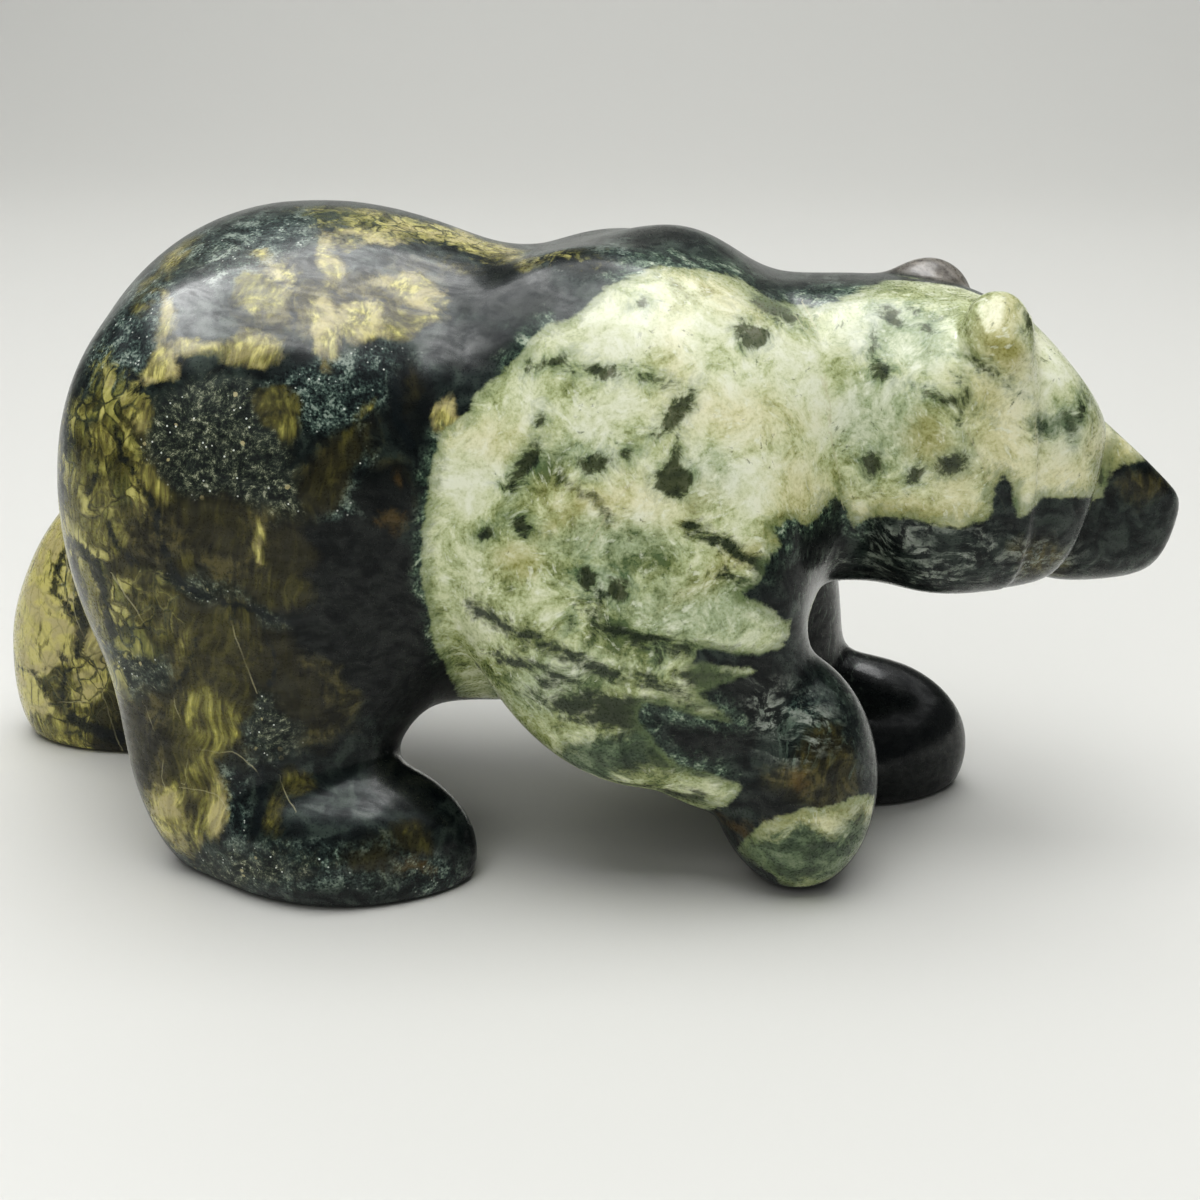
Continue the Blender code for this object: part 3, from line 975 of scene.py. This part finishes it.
def closeToLines(across, down, lines, size=pixelSize):
    # above 0 within a line's half width, in millimetres
    close = [halfWidth - awayFromLine(across, down, line)[0] for line, halfWidth in lines.values()]
    return np.max(close, axis=0) * size


def upright(patches):
    # the photograph's pixels run down, so patches turn over to stand in an upward frame
    return {name: (x, -y, *rest) for name, (x, y, *rest) in patches.items()}


def nearFields(points, drift):
    across, down = inThePicture(points)
    pattern = {kind: upright(nearPattern[kind]) for kind in nearPattern if kind != "pale"}
    pattern["pale"] = [[(x, -y) for x, y in outline] for outline in nearPattern["pale"]]
    fields = sideFields(across, -down, drift, pattern, pixelSize)
    strayed = across + drift[0] / 3, down - drift[1] / 3
    fields["streak"] = closeToLines(*strayed, nearStreaks)
    fields["crack"] = closeToLines(*strayed, nearCracks)
    veinAway = np.full(len(points), 1e9)
    veinAcross, veinWide = np.zeros(len(points)), np.ones(len(points))
    for line, halfWidth in nearVeins.values():
        away, side = awayFromLine(*strayed, line)
        nearer = away < veinAway
        veinAcross = np.where(nearer, away * side, veinAcross)
        veinWide = np.where(nearer, halfWidth, veinWide)
        veinAway = np.minimum(veinAway, away)
    fields["veinAway"] = veinAway * pixelSize
    fields["veinAcross"] = np.clip(veinAcross / veinWide, -veinLimit, veinLimit)
    return fields


def farFields(points, drift):
    across, up = points[:, 0], points[:, 2]
    fields = sideFields(across, up, drift, farPattern, 1)
    for kind, lines in (("streak", farStreaks), ("crack", farCracks)):
        fields[kind] = closeToLines(across + drift[0] / 2, up + drift[1] / 2, lines, size=1)
    for kind in ("veinAway", "veinAcross"):
        fields[kind] = np.full(len(points), noVein)
    return fields


def closeToForm(points, form):
    reach = np.linalg.norm((points - form["at"]) / form["half"], axis=1)
    return (1 - reach) * min(form["half"])


def layValues(mesh, name, values):
    layer = mesh.attributes.new(name, "FLOAT", "POINT")
    layer.data.foreach_set("value", values.astype(np.float32))


def layVectors(mesh, name, vectors):
    layer = mesh.attributes.new(name, "FLOAT_VECTOR", "POINT")
    layer.data.foreach_set("vector", vectors.astype(np.float32).ravel())


def layPattern(mesh):
    points, normals = pointsOf(mesh), normalsOf(mesh)
    seen = facingPhoto(points, normals)
    drift = driftOf(points)
    near = nearFields(points, drift)
    far = farFields(points, [d * pixelSize for d in drift])
    fields = {kind: near[kind] * seen + far[kind] * (1 - seen) for kind in near}
    straying = np.column_stack((drift[0], drift[0] - drift[1], drift[1])) * pixelSize
    leg = closeToForm(points + legStone["strays"] * straying, wholeForms["farHindLeg"])
    ear = closeToForm(points, wholeForms["farEar"])
    dark = np.maximum(closeToForm(points, wholeForms["farForeleg"]), ear)
    onLeg = np.clip(leg / 2 + 0.5, 0, 1)
    fields["olive"] = fields["olive"] * (1 - onLeg) + legStone["olive"] * onLeg
    legGlow = legStone["glow"] + legStone["glowUp"] * drift[1] + legStone["glowAcross"] * drift[0]
    fields["glow"] = fields["glow"] * (1 - onLeg * (1 - seen)) + legGlow * onLeg * (1 - seen)
    for form in ("nearEar", "brow"):
        fields["pale"] = np.maximum(fields["pale"], closeToForm(points + straying, wholeForms[form]))
    fields["pale"] = np.minimum(fields["pale"], np.minimum(-leg, -dark))
    fields["black"] = np.maximum(fields["black"], dark)
    for kind in ("olive", "teal", "coarse", "mottle"):
        fields[kind] = np.minimum(fields[kind], -dark)
    fields["leg"] = leg
    fields["ear"] = ear
    for kind, values in fields.items():
        layValues(mesh, kind, values)


def slowNoise(points, size):
    # a swing about 0.5 that is too slow to need the shader
    places = [Vector(point) / size for point in points]
    swing = [sum(share * noise.noise(place * finer) for finer, share in slowShares) for place in places]
    return 0.5 + np.array(swing)


def layGrain(mesh):
    # where the stone's noises are read, in millimetres: bent for its grain and twisted for its curds
    points = pointsOf(mesh)
    bent = np.array(points)
    for step in grainBends:
        bent += step["reach"] * swings(points, step["size"])
    twisted = bent + grainTwist["reach"] * swings(bent, grainTwist["size"])
    layVectors(mesh, "bent", bent)
    layVectors(mesh, "twisted", twisted)
    for name, size in slowSizes.items():
        layValues(mesh, name, slowNoise(bent, size))


layPattern(bear.data)
layGrain(bear.data)
print("pattern laid")


def joined(tree, value, socket):
    # a socket is linked and anything else is typed in
    if isinstance(value, bpy.types.NodeSocket):
        tree.links.new(value, socket)
    else:
        socket.default_value = value


def mathOf(tree, operation, *values):
    node = tree.nodes.new("ShaderNodeMath")
    node.operation = operation
    for value, socket in zip(values, node.inputs):
        joined(tree, value, socket)
    return node.outputs[0]


def scaled(tree, vector, times):
    node = tree.nodes.new("ShaderNodeVectorMath")
    node.operation = "SCALE"
    joined(tree, vector, node.inputs[0])
    joined(tree, times, node.inputs["Scale"])
    return node.outputs[0]


def rangeOf(tree, value, low, high, toLow=0.0, toHigh=1.0):
    node = tree.nodes.new("ShaderNodeMapRange")
    node.interpolation_type = "SMOOTHSTEP"
    names = "Value", "From Min", "From Max", "To Min", "To Max"
    for given, name in zip((value, low, high, toLow, toHigh), names):
        joined(tree, given, node.inputs[name])
    return node.outputs["Result"]


def mixOf(tree, share, first, second):
    node = tree.nodes.new("ShaderNodeMix")
    node.data_type = "RGBA"
    for value, socket in zip((share, first, second), (0, 6, 7)):  # the colour mix's own sockets
        joined(tree, value, node.inputs[socket])
    return node.outputs[2]


def rampOf(tree, value, stops):
    node = tree.nodes.new("ShaderNodeValToRGB")
    joined(tree, value, node.inputs["Fac"])
    elements = node.color_ramp.elements
    while len(elements) < len(stops):
        elements.new(0.5)
    for element, (place, colour) in zip(elements, stops):
        element.position = place
        element.color = colour
    return node.outputs["Color"]


# Each noise in the stone: its size in millimetres, its detail and its roughness.
noises = dict(
    ragged=(1.3, 4, 0.66),  # along the kinds' edges
    streaky=(1.2, 4, 0.66),  # along level streaks
    fine=(0.42, 2, 0.62),  # the last of the polish
    curd=(2.8, 4, 0.6),
    brush=(1.5, 4, 0.64),
    crystals=(0.85, 3, 0.62),
    ground=(2.4, 3, 0.5),
    fibres=(0.8, 3, 0.56),
    specks=(1.1, 4, 0.85),
    strands=(0.8, 3, 0.62),
)


def noiseOf(tree, place, name):
    size, detail, roughness = noises[name]
    node = tree.nodes.new("ShaderNodeTexNoise")
    joined(tree, place, node.inputs["Vector"])
    node.inputs["Scale"].default_value = 1 / size
    node.inputs["Detail"].default_value = detail
    node.inputs["Roughness"].default_value = roughness
    return node.outputs["Fac"]


def cellsOf(tree, place, size, feature="F1"):
    node = tree.nodes.new("ShaderNodeTexVoronoi")
    node.feature = feature
    joined(tree, place, node.inputs["Vector"])
    node.inputs["Scale"].default_value = 1 / size
    return node.outputs


def redOf(tree, colour):
    node = tree.nodes.new("ShaderNodeSeparateColor")
    joined(tree, colour, node.inputs[0])
    return node.outputs[0]


def stretched(tree, place, turn, longer):
    # the same places with what lies along the turned Z drawn out
    node = tree.nodes.new("ShaderNodeMapping")
    node.vector_type = "TEXTURE"
    joined(tree, place, node.inputs["Vector"])
    node.inputs["Rotation"].default_value = [radians(t) for t in turn]
    node.inputs["Scale"].default_value = (1, 1, longer)
    return node.outputs["Vector"]


def layerOf(tree, name, output="Fac"):
    node = tree.nodes.new("ShaderNodeAttribute")
    node.attribute_name = name
    return node.outputs[output]


def tone(red, green, blue):
    # a colour as a screen shows it, from 0 to 255, as the light it stands for
    share = np.array((red, green, blue)) / 255
    light = np.where(share <= 0.04045, share / 12.92, ((share + 0.055) / 1.055) ** 2.4)
    return (*light.tolist(), 1.0)


# The kinds of stone, as the photograph shows them in plain light. A ramp is its places and
# tones. A step is the two values that it runs between, and the two that it gives.
paleStone = dict(
    ramp=[
        (0.28, tone(104, 114, 76)), (0.4, tone(154, 162, 116)), (0.5, tone(190, 198, 154)),
        (0.59, tone(213, 218, 180)), (0.76, tone(234, 237, 212)),
    ],
    swings=dict(curd=0.68, fine=0.24, brush=0.46, cloud=0.6),
    # painted shade: how far the shade patches darken the pale stone
    shade=(-5, 8, 0.58, 0.445),
    # painted light: how far the light patches lighten the pale stone
    light=(-3, 4, 0, 0.12),
    tints=dict(
        sea=[(0.3, tone(96, 114, 96)), (0.5, tone(152, 168, 144)), (0.7, tone(208, 216, 198))],
        warm=[(0.3, tone(164, 156, 104)), (0.5, tone(206, 200, 150)), (0.7, tone(234, 228, 186))],
        ochre=[(0.3, tone(106, 106, 58)), (0.5, tone(152, 149, 92)), (0.7, tone(188, 184, 128))],
    ),
    # dark sage: for dark green stone on the jaw and brow, and for painted shade at the paw and elbow
    mossAndShade=[(0.34, tone(38, 52, 40)), (0.5, tone(74, 90, 70)), (0.68, tone(124, 138, 112))],
    brushed=[(0, 62, 20), (0, -58, -20)],  # turns, in degrees
    brushLength=2.4,
    brushChange=(0.44, 0.56),  # where the brushing goes over to its second turn
    feather=tone(238, 241, 222),
    feathers=(0.57, 0.72, 0, 0.42),
    crystals=[
        dict(turn=(0, -25, 30), among=(0.47, 0.56)),
        dict(turn=(0, 72, -20), among=(0.53, 0.44)),
    ],
    crystalLength=2.8,
    crystalStep=(0.56, 0.7, 0, 0.55),
    hair=tone(92, 106, 68),
    hairs=(0.4, 0.28, 0, 0.2),
    fleck=tone(72, 84, 58),
    flecks=(0.1, 0.18, 0, 0.6),
    flecksAmong=(0.5, 0.64),
    halo=tone(104, 126, 102),
    haloRag=5,
    haloStep=(-2, 0.3, 0, 0.5),
    spot=[(0.35, tone(34, 42, 32)), (0.55, tone(72, 78, 54)), (0.75, tone(116, 116, 100))],
    streak=tone(44, 54, 38),
    sage=tone(104, 118, 84),  # towards the dark stone
    sageRag=5,
    sageStep=(2.4, 0.2, 0, 0.6),
)
darkStone = dict(
    base=[(0.34, tone(14, 22, 22)), (0.5, tone(30, 40, 38)), (0.64, tone(56, 66, 60))],
    teal=[
        (0.34, tone(22, 31, 32)), (0.48, tone(44, 57, 55)), (0.6, tone(84, 99, 92)),
        (0.72, tone(152, 164, 152)),
    ],
    coarse=[
        (0.36, tone(16, 22, 22)), (0.46, tone(38, 46, 42)), (0.54, tone(74, 80, 68)),
        (0.62, tone(132, 136, 116)), (0.7, tone(206, 206, 184)),
    ],
    coarseShare=0.92,
    umber=[(0.34, tone(38, 38, 28)), (0.5, tone(62, 60, 40)), (0.64, tone(92, 87, 54))],
    black=[(0.3, tone(9, 17, 19)), (0.7, tone(29, 35, 32))],
    # the far ear: the black stone painted lighter grey-brown, as a painted sheen
    ear=[(0.35, tone(84, 81, 76)), (0.6, tone(132, 127, 119))],
    earSheenStep=(0, 3),
    fibresTurn=(0, 6, 0),
    fibresLength=6,
    umberFibres=0.6,
    tealFine=0.85,
    crack=tone(20, 30, 32),
    rust=tone(112, 92, 50),
    frill=[
        (0.36, tone(26, 38, 34)), (0.5, tone(56, 72, 62)), (0.6, tone(112, 130, 112)),
        (0.7, tone(190, 200, 178)),
    ],
    frillFine=0.4,
    frillRag=4,
    frillStep=(-3.2, -0.4, 0, 0.9),
    wisp=[(0.4, tone(96, 104, 96)), (0.6, tone(168, 174, 164))],
    wispStreaks=(-0.06, 0.07, 0, 0.8),
    wispGaps=(-0.13, 0.03),
    strand=tone(120, 134, 122),
    strandTurn=(0, 24, 0),
    strandLength=8,
    strandStep=(0.52, 0.66, 0, 0.5),
)
# Loose grains in the pitted stone, and painted glints of crystal: the cells' size in millimetres,
# which of them show, and how much of each.
grains = dict(size=1.15, chosen=(0.93, 0.95), rag=0.9, step=(0.34, 0.22, 0, 0.7), colour=tone(204, 194, 150))
glints = dict(size=0.42, chosen=(0.955, 0.97), step=(0.45, 0.2, 0, 0.9), colour=tone(235, 238, 230))
oliveStone = dict(
    ramp=[
        (0.0, tone(30, 30, 22)), (0.25, tone(60, 58, 36)), (0.5, tone(98, 95, 54)), (0.7, tone(132, 129, 76)),
        (0.85, tone(170, 165, 96)), (1.0, tone(215, 208, 128)),
    ],
    swings=dict(fibres=2.6, lumps=1.0),
    inward=(-0.2, 1.5, -0.16, 0.0),  # darker towards its edge
    tan=tone(186, 175, 132),
    tanLumps=(0.44, 0.6, 0.25, 0.8),
    tanGlow=(0.55, 0.85),
    crackedBeyond=(1, -1),
)
mottledStone = dict(
    ramp=[
        (0.0, tone(34, 40, 32)), (0.25, tone(78, 80, 50)), (0.55, tone(128, 128, 78)),
        (0.8, tone(170, 166, 104)), (1.0, tone(198, 192, 124)),
    ],
    cells=2.7,  # millimetres
    cellTurn=(0, -12, 0),
    cellLength=1.4,
    swings=dict(cells=0.8, lumps=0.7, fibres=0.9),
    least=0.3,
    rimRag=0.24,
    rim=(0.02, 0.1, 0.22, 1),
    legNet=(0.09, 0.02, 0, 0.18),  # fine cracks on the far hind leg
    legNetAmong=(0, 2),
)
veins = dict(
    colour=tone(196, 190, 158),
    rag=1.6,
    step=(1.2, 0.4, 0, 0.65),
    reach=0.7,  # millimetres
    among=(0.38, 0.6, 0.05, 0.6),
)
# How each kind of stone ends: how ragged its edge is and how soft, in millimetres, and how
# much of it shows within. A drawn edge also has how far level streaks draw it out.
edges = dict(
    sea=(7, 3, 0.5), warm=(6, 4, 0.72), ochre=(4, 2, 0.75), spots=(3.4, 0.5, 0.92), mossAndShade=(4, 1.4, 0.94),
    umber=(4, 1.5, 1), teal=(4, 1.6, 0.85), coarse=(4, 2.2, 1), black=(3, 1.2, 1), mottle=(5, 1.2, 1),
    olive=(2, 0.7, 0.94), crack=(2.4, 0.35, 0.88), rust=(4, 1.0, 0.5), wisps=(5, 2.5, 1), strands=(5, 2.5, 1),
    frill=(3, 1.5, 1),
)
drawnEdges = dict(streak=(2.4, 1.0, 0.95, 4.5), pale=(1.5, 0.4, 1, 1.2))
streaksTurn, streaksLength = (0, 98, 0), 5
# How it shines. The specular and the coat have their swing with the gloss, then the least.
polish = dict(
    roughness=0.24,
    coarseRoughness=0.4,
    fineRoughness=0.08,
    bump=0.008,  # millimetres
    bumpStrength=0.35,
    groundGloss=0.5,
    gloss=(-0.2, 0.2, 0.5, 1),
    dull=(-2, 5, 1, 0.22),
    specular=(0.4, 0.08),
    coat=(0.34, 0.02),
    coatRoughness=0.11,
)


def soapstone():
    material = bpy.data.materials.new("soapstone")
    material.use_nodes = True
    tree = material.node_tree
    shader = tree.nodes["Principled BSDF"]
    place = scaled(tree, tree.nodes.new("ShaderNodeTexCoord").outputs["Object"], 1 / millimetre)
    bent, twisted = layerOf(tree, "bent", "Vector"), layerOf(tree, "twisted", "Vector")

    def sumOf(first, *others):
        for other in others:
            first = mathOf(tree, "ADD", first, other)
        return first

    def both(first, *others):
        for other in others:
            first = mathOf(tree, "MULTIPLY", first, other)
        return first

    def around(value, share):
        # a noise's swing either way, times a share
        return both(mathOf(tree, "SUBTRACT", value, 0.5), share)

    def stepOf(value, step):
        return rangeOf(tree, value, *step)

    def noiseAlong(name, turn, longer):
        return noiseOf(tree, stretched(tree, bent, turn, longer), name)

    def layer(kind):
        return layerOf(tree, kind)

    def stray(value, swing, reach):
        return mathOf(tree, "MULTIPLY_ADD", swing, reach, value)

    ragged = mathOf(tree, "SUBTRACT", noiseOf(tree, twisted, "ragged"), 0.5)
    streaky = mathOf(tree, "SUBTRACT", noiseAlong("streaky", streaksTurn, streaksLength), 0.5)
    fine = noiseOf(tree, place, "fine")

    def edged(kind):
        # a kind of stone's share here, with a ragged edge
        rag, soft, most = edges[kind]
        return stepOf(stray(layer(kind), ragged, rag), (-soft, soft, 0, most))

    def feathered(kind):
        # the same with an edge drawn out into level streaks
        rag, soft, most, streaks = drawnEdges[kind]
        return stepOf(stray(stray(layer(kind), streaky, streaks), ragged, rag), (-soft, soft, 0, most))

    def laid(below, share, above):
        return mixOf(tree, share, below, above)

    # the pale stone: curdled clouds, brushed two ways, with white crystal where the brushing peaks
    where, patchy = layer("where"), layer("patchy")
    curd = noiseOf(tree, twisted, "curd")
    brushes = [noiseAlong("brush", turn, paleStone["brushLength"]) for turn in paleStone["brushed"]]
    change = mathOf(tree, "SUBTRACT", brushes[1], brushes[0])
    brush = mathOf(tree, "MULTIPLY_ADD", change, stepOf(where, paleStone["brushChange"]), brushes[0])
    clouding = dict(curd=curd, fine=fine, brush=brush, cloud=layer("cloud"))
    clouds = sumOf(*(around(clouding[name], share) for name, share in paleStone["swings"].items()))
    # the shade patches darken the clouds' tone as painted shade, and the light patches lighten it as painted
    # light
    clouds = sumOf(clouds, *(stepOf(layer(kind), paleStone[kind]) for kind in ("shade", "light")))
    pale = rampOf(tree, clouds, paleStone["ramp"])
    for kind, ramp in paleStone["tints"].items():
        pale = laid(pale, edged(kind), rampOf(tree, clouds, ramp))
    pale = laid(pale, stepOf(brush, paleStone["feathers"]), paleStone["feather"])
    for crystal in paleStone["crystals"]:
        needles = noiseAlong("crystals", crystal["turn"], paleStone["crystalLength"])
        needles = both(stepOf(needles, paleStone["crystalStep"]), stepOf(where, crystal["among"]))
        pale = laid(pale, needles, paleStone["feather"])
    pale = laid(pale, stepOf(brush, paleStone["hairs"]), paleStone["hair"])
    flecks = both(stepOf(ragged, paleStone["flecks"]), stepOf(patchy, paleStone["flecksAmong"]))
    pale = laid(pale, flecks, paleStone["fleck"])
    halo = stepOf(stray(layer("spots"), ragged, paleStone["haloRag"]), paleStone["haloStep"])
    pale = laid(pale, halo, paleStone["halo"])
    pale = laid(pale, edged("spots"), rampOf(tree, curd, paleStone["spot"]))
    pale = laid(pale, feathered("streak"), paleStone["streak"])
    # dark sage over the pale stone: dark green stone in places, and painted shade at the paw and elbow
    pale = laid(pale, edged("mossAndShade"), rampOf(tree, clouds, paleStone["mossAndShade"]))

    # the dark stone: teal and pitted grounds, and black areas
    ground = noiseOf(tree, twisted, "ground")
    fibres = noiseAlong("fibres", darkStone["fibresTurn"], darkStone["fibresLength"])
    dark = rampOf(tree, ground, darkStone["base"])
    umberTone = rampOf(tree, sumOf(ground, around(fibres, darkStone["umberFibres"])), darkStone["umber"])
    dark = laid(dark, edged("umber"), umberTone)
    teal, coarse = edged("teal"), edged("coarse")
    tealTone = rampOf(tree, sumOf(ground, around(fine, darkStone["tealFine"])), darkStone["teal"])
    dark = laid(dark, teal, tealTone)
    specks = noiseOf(tree, bent, "specks")
    dark = laid(dark, both(coarse, darkStone["coarseShare"]), rampOf(tree, specks, darkStone["coarse"]))
    cell = cellsOf(tree, place, grains["size"])
    grain = stepOf(stray(cell["Distance"], ragged, grains["rag"]), grains["step"])
    grain = both(stepOf(redOf(tree, cell["Color"]), grains["chosen"]), grain, coarse)
    dark = laid(dark, grain, grains["colour"])
    # painted glints: tiny near-white dots on the teal and pitted stone
    cell = cellsOf(tree, place, glints["size"])
    chosen = stepOf(redOf(tree, cell["Color"]), glints["chosen"])
    glint = both(chosen, stepOf(cell["Distance"], glints["step"]), mathOf(tree, "MAXIMUM", coarse, teal))
    dark = laid(dark, glint, glints["colour"])
    dark = laid(dark, edged("black"), rampOf(tree, ground, darkStone["black"]))
    # the far ear painted lighter grey-brown over the black, as a painted sheen
    dark = laid(dark, stepOf(layer("ear"), darkStone["earSheenStep"]), rampOf(tree, ground, darkStone["ear"]))

    # the mottle, in cells with dark rims
    lumps = layer("lumps")
    cellPlace = stretched(tree, twisted, mottledStone["cellTurn"], mottledStone["cellLength"])
    cellTone = redOf(tree, cellsOf(tree, cellPlace, mottledStone["cells"])["Color"])
    cellEdge = cellsOf(tree, cellPlace, mottledStone["cells"], "DISTANCE_TO_EDGE")["Distance"]
    swing = mottledStone["swings"]
    mottle = mathOf(tree, "MULTIPLY_ADD", cellTone, swing["cells"], mottledStone["least"])
    mottle = sumOf(mottle, around(lumps, swing["lumps"]), around(fibres, swing["fibres"]))
    rim = stepOf(stray(cellEdge, ragged, mottledStone["rimRag"]), mottledStone["rim"])
    dark = laid(dark, both(edged("mottle"), rim), rampOf(tree, mottle, mottledStone["ramp"]))

    # the olive stone, its tan lights, and the cracks through it
    swing = oliveStone["swings"]
    swing = sumOf(around(fibres, swing["fibres"]), around(lumps, swing["lumps"]), 1.0)
    glow = both(layer("glow"), swing)
    inward = stepOf(sumOf(layer("olive"), ragged), oliveStone["inward"])
    olive = rampOf(tree, sumOf(glow, inward), oliveStone["ramp"])
    tan = both(stepOf(lumps, oliveStone["tanLumps"]), stepOf(layer("glow"), oliveStone["tanGlow"]))
    olive = laid(olive, tan, oliveStone["tan"])
    cracked = mathOf(tree, "MAXIMUM", rim, stepOf(layer("mottle"), oliveStone["crackedBeyond"]))
    dark = laid(dark, both(edged("olive"), cracked), olive)
    legNet = stepOf(cellEdge, mottledStone["legNet"])
    legNet = both(legNet, stepOf(layer("leg"), mottledStone["legNetAmong"]))
    dark = laid(dark, legNet, darkStone["crack"])
    dark = laid(dark, edged("crack"), darkStone["crack"])
    dark = laid(dark, edged("rust"), darkStone["rust"])
    wisps = both(stepOf(streaky, darkStone["wispStreaks"]), stepOf(ragged, darkStone["wispGaps"]))
    dark = laid(dark, both(wisps, edged("wisps")), rampOf(tree, curd, darkStone["wisp"]))
    strands = noiseAlong("strands", darkStone["strandTurn"], darkStone["strandLength"])
    strands = both(stepOf(strands, darkStone["strandStep"]), edged("strands"))
    dark = laid(dark, strands, darkStone["strand"])

    # where they meet: a feathery rim in places, and the veins over both
    frill = stepOf(stray(layer("pale"), ragged, darkStone["frillRag"]), darkStone["frillStep"])
    frillTone = rampOf(tree, sumOf(brush, around(fine, darkStone["frillFine"])), darkStone["frill"])
    dark = laid(dark, both(frill, edged("frill")), frillTone)
    fading = stepOf(stray(layer("pale"), ragged, paleStone["sageRag"]), paleStone["sageStep"])
    stone = laid(dark, feathered("pale"), laid(pale, fading, paleStone["sage"]))
    vein = mathOf(tree, "ABSOLUTE", stray(layer("veinAcross"), ragged, veins["rag"]))
    nearby = mathOf(tree, "LESS_THAN", layer("veinAway"), veins["reach"])
    vein = both(stepOf(vein, veins["step"]), nearby, stepOf(patchy, veins["among"]))
    stone = laid(stone, vein, veins["colour"])
    joined(tree, stone, shader.inputs["Base Color"])

    # the polish
    rough = stepOf(coarse, (0, 1, polish["roughness"], polish["coarseRoughness"]))
    joined(tree, stray(rough, fine, polish["fineRoughness"]), shader.inputs["Roughness"])
    bump = tree.nodes.new("ShaderNodeBump")
    bump.inputs["Strength"].default_value = polish["bumpStrength"]
    bump.inputs["Distance"].default_value = polish["bump"] * millimetre
    joined(tree, fine, bump.inputs["Height"])
    joined(tree, bump.outputs["Normal"], shader.inputs["Normal"])
    gloss = stepOf(sumOf(streaky, around(ground, polish["groundGloss"])), polish["gloss"])
    gloss = both(gloss, stepOf(layer("dull"), polish["dull"]))
    for name, socket in (("specular", "Specular IOR Level"), ("coat", "Coat Weight")):
        joined(tree, mathOf(tree, "MULTIPLY_ADD", gloss, *polish[name]), shader.inputs[socket])
    shader.inputs["Coat Roughness"].default_value = polish["coatRoughness"]
    return material


bear.data.materials.append(soapstone())
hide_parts("bear")
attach(bear, "root")
print("stone finished")

# The studio: a pale sheet that runs up behind, and soft lights. Metres and watts.
studio = dict(
    sheet=dict(front=-1.2, back=0.7, bend=0.5, bendSteps=12, top=1.6, half=2.2, roughness=0.6),
    sheetColour=tone(214, 214, 209),
    world=tone(200, 202, 205),
    worldStrength=0.25,
)
# Each lights either the surfaces or the reflections, and is unseen by the other.
softLights = {
    "overhead": dict(at=(0.0, -0.1, 0.87), aim=(0.0, -0.1, 0), size=(0.8, 0.9), power=7.9, unseen="glossy"),
    "back": dict(at=(0.0, 0.75, 0.7), aim=(0, 0.35, 0), size=(1.4, 0.3), power=2.6, unseen="glossy"),
    "front": dict(at=(-0.2, -1.1, 0.8), aim=(0, 0, 0.05), size=(0.8, 0.8), power=3.8, unseen="glossy"),
    "gleam": dict(
        at=(-0.17, -0.07, 0.85), aim=(-0.17, -0.07, 0), size=(1.15, 1.1), power=18, unseen="diffuse",
    ),
    "gleamLeft": dict(
        at=(-0.66, -0.12, 0.84), aim=(-0.66, -0.12, 0), size=(0.5, 1.15), power=5.5, unseen="diffuse",
    ),
    "ceiling": dict(at=(0.0, 0.9, 1.2), aim=(0.0, 0.9, 0), size=(4.6, 3.6), power=42, unseen="diffuse"),
}
# A mild contrast curve, as a telephone's camera lays over its pictures: light in, light out.
contrast = [(0.0, 0.0), (0.06, 0.03), (0.2, 0.17), (0.5, 0.5), (1.0, 1.0)]


def paperSheet():
    sizes = studio["sheet"]
    profile = [(sizes["front"], 0.0), (sizes["back"], 0.0)]
    for step in range(1, sizes["bendSteps"] + 1):
        angle = radians(90 * step / sizes["bendSteps"])
        profile.append((sizes["back"] + sizes["bend"] * sin(angle), sizes["bend"] * (1 - cos(angle))))
    profile.append((profile[-1][0], sizes["top"]))
    points = [(x, y, z) for y, z in profile for x in (-sizes["half"], sizes["half"])]
    faces = [(2 * i, 2 * i + 1, 2 * i + 3, 2 * i + 2) for i in range(len(profile) - 1)]
    mesh = bpy.data.meshes.new("paperSheet")
    mesh.from_pydata(points, [], faces)
    mesh.shade_smooth()
    material = bpy.data.materials.new("palePaper")
    material.use_nodes = True
    shader = material.node_tree.nodes["Principled BSDF"]
    shader.inputs["Base Color"].default_value = studio["sheetColour"]
    shader.inputs["Roughness"].default_value = sizes["roughness"]
    mesh.materials.append(material)
    sheet = bpy.data.objects.new("paperSheet", mesh)
    bpy.context.scene.collection.objects.link(sheet)


def lightStudio():
    world = bpy.data.worlds.new("studio")
    world.use_nodes = True
    ground = world.node_tree.nodes["Background"]
    ground.inputs["Color"].default_value = studio["world"]
    ground.inputs["Strength"].default_value = studio["worldStrength"]
    bpy.context.scene.world = world
    for name, light in softLights.items():
        lamp = bpy.data.lights.new(name, "AREA")
        lamp.shape = "RECTANGLE"
        lamp.size, lamp.size_y = light["size"]
        lamp.energy = light["power"]
        holder = bpy.data.objects.new(name, lamp)
        holder.location = light["at"]
        setattr(holder, "visible_" + light["unseen"], False)
        aim = Vector(light["aim"]) - Vector(light["at"])
        holder.rotation_euler = aim.to_track_quat("-Z", "Y").to_euler()
        bpy.context.scene.collection.objects.link(holder)
    settings = bpy.context.scene.view_settings
    settings.view_transform = "Standard"
    settings.use_curve_mapping = True
    curve = settings.curve_mapping.curves[3]
    for place, value in contrast[1:-1]:
        curve.points.new(place, value)
    settings.curve_mapping.update()


paperSheet()
lightStudio()
print("studio set")
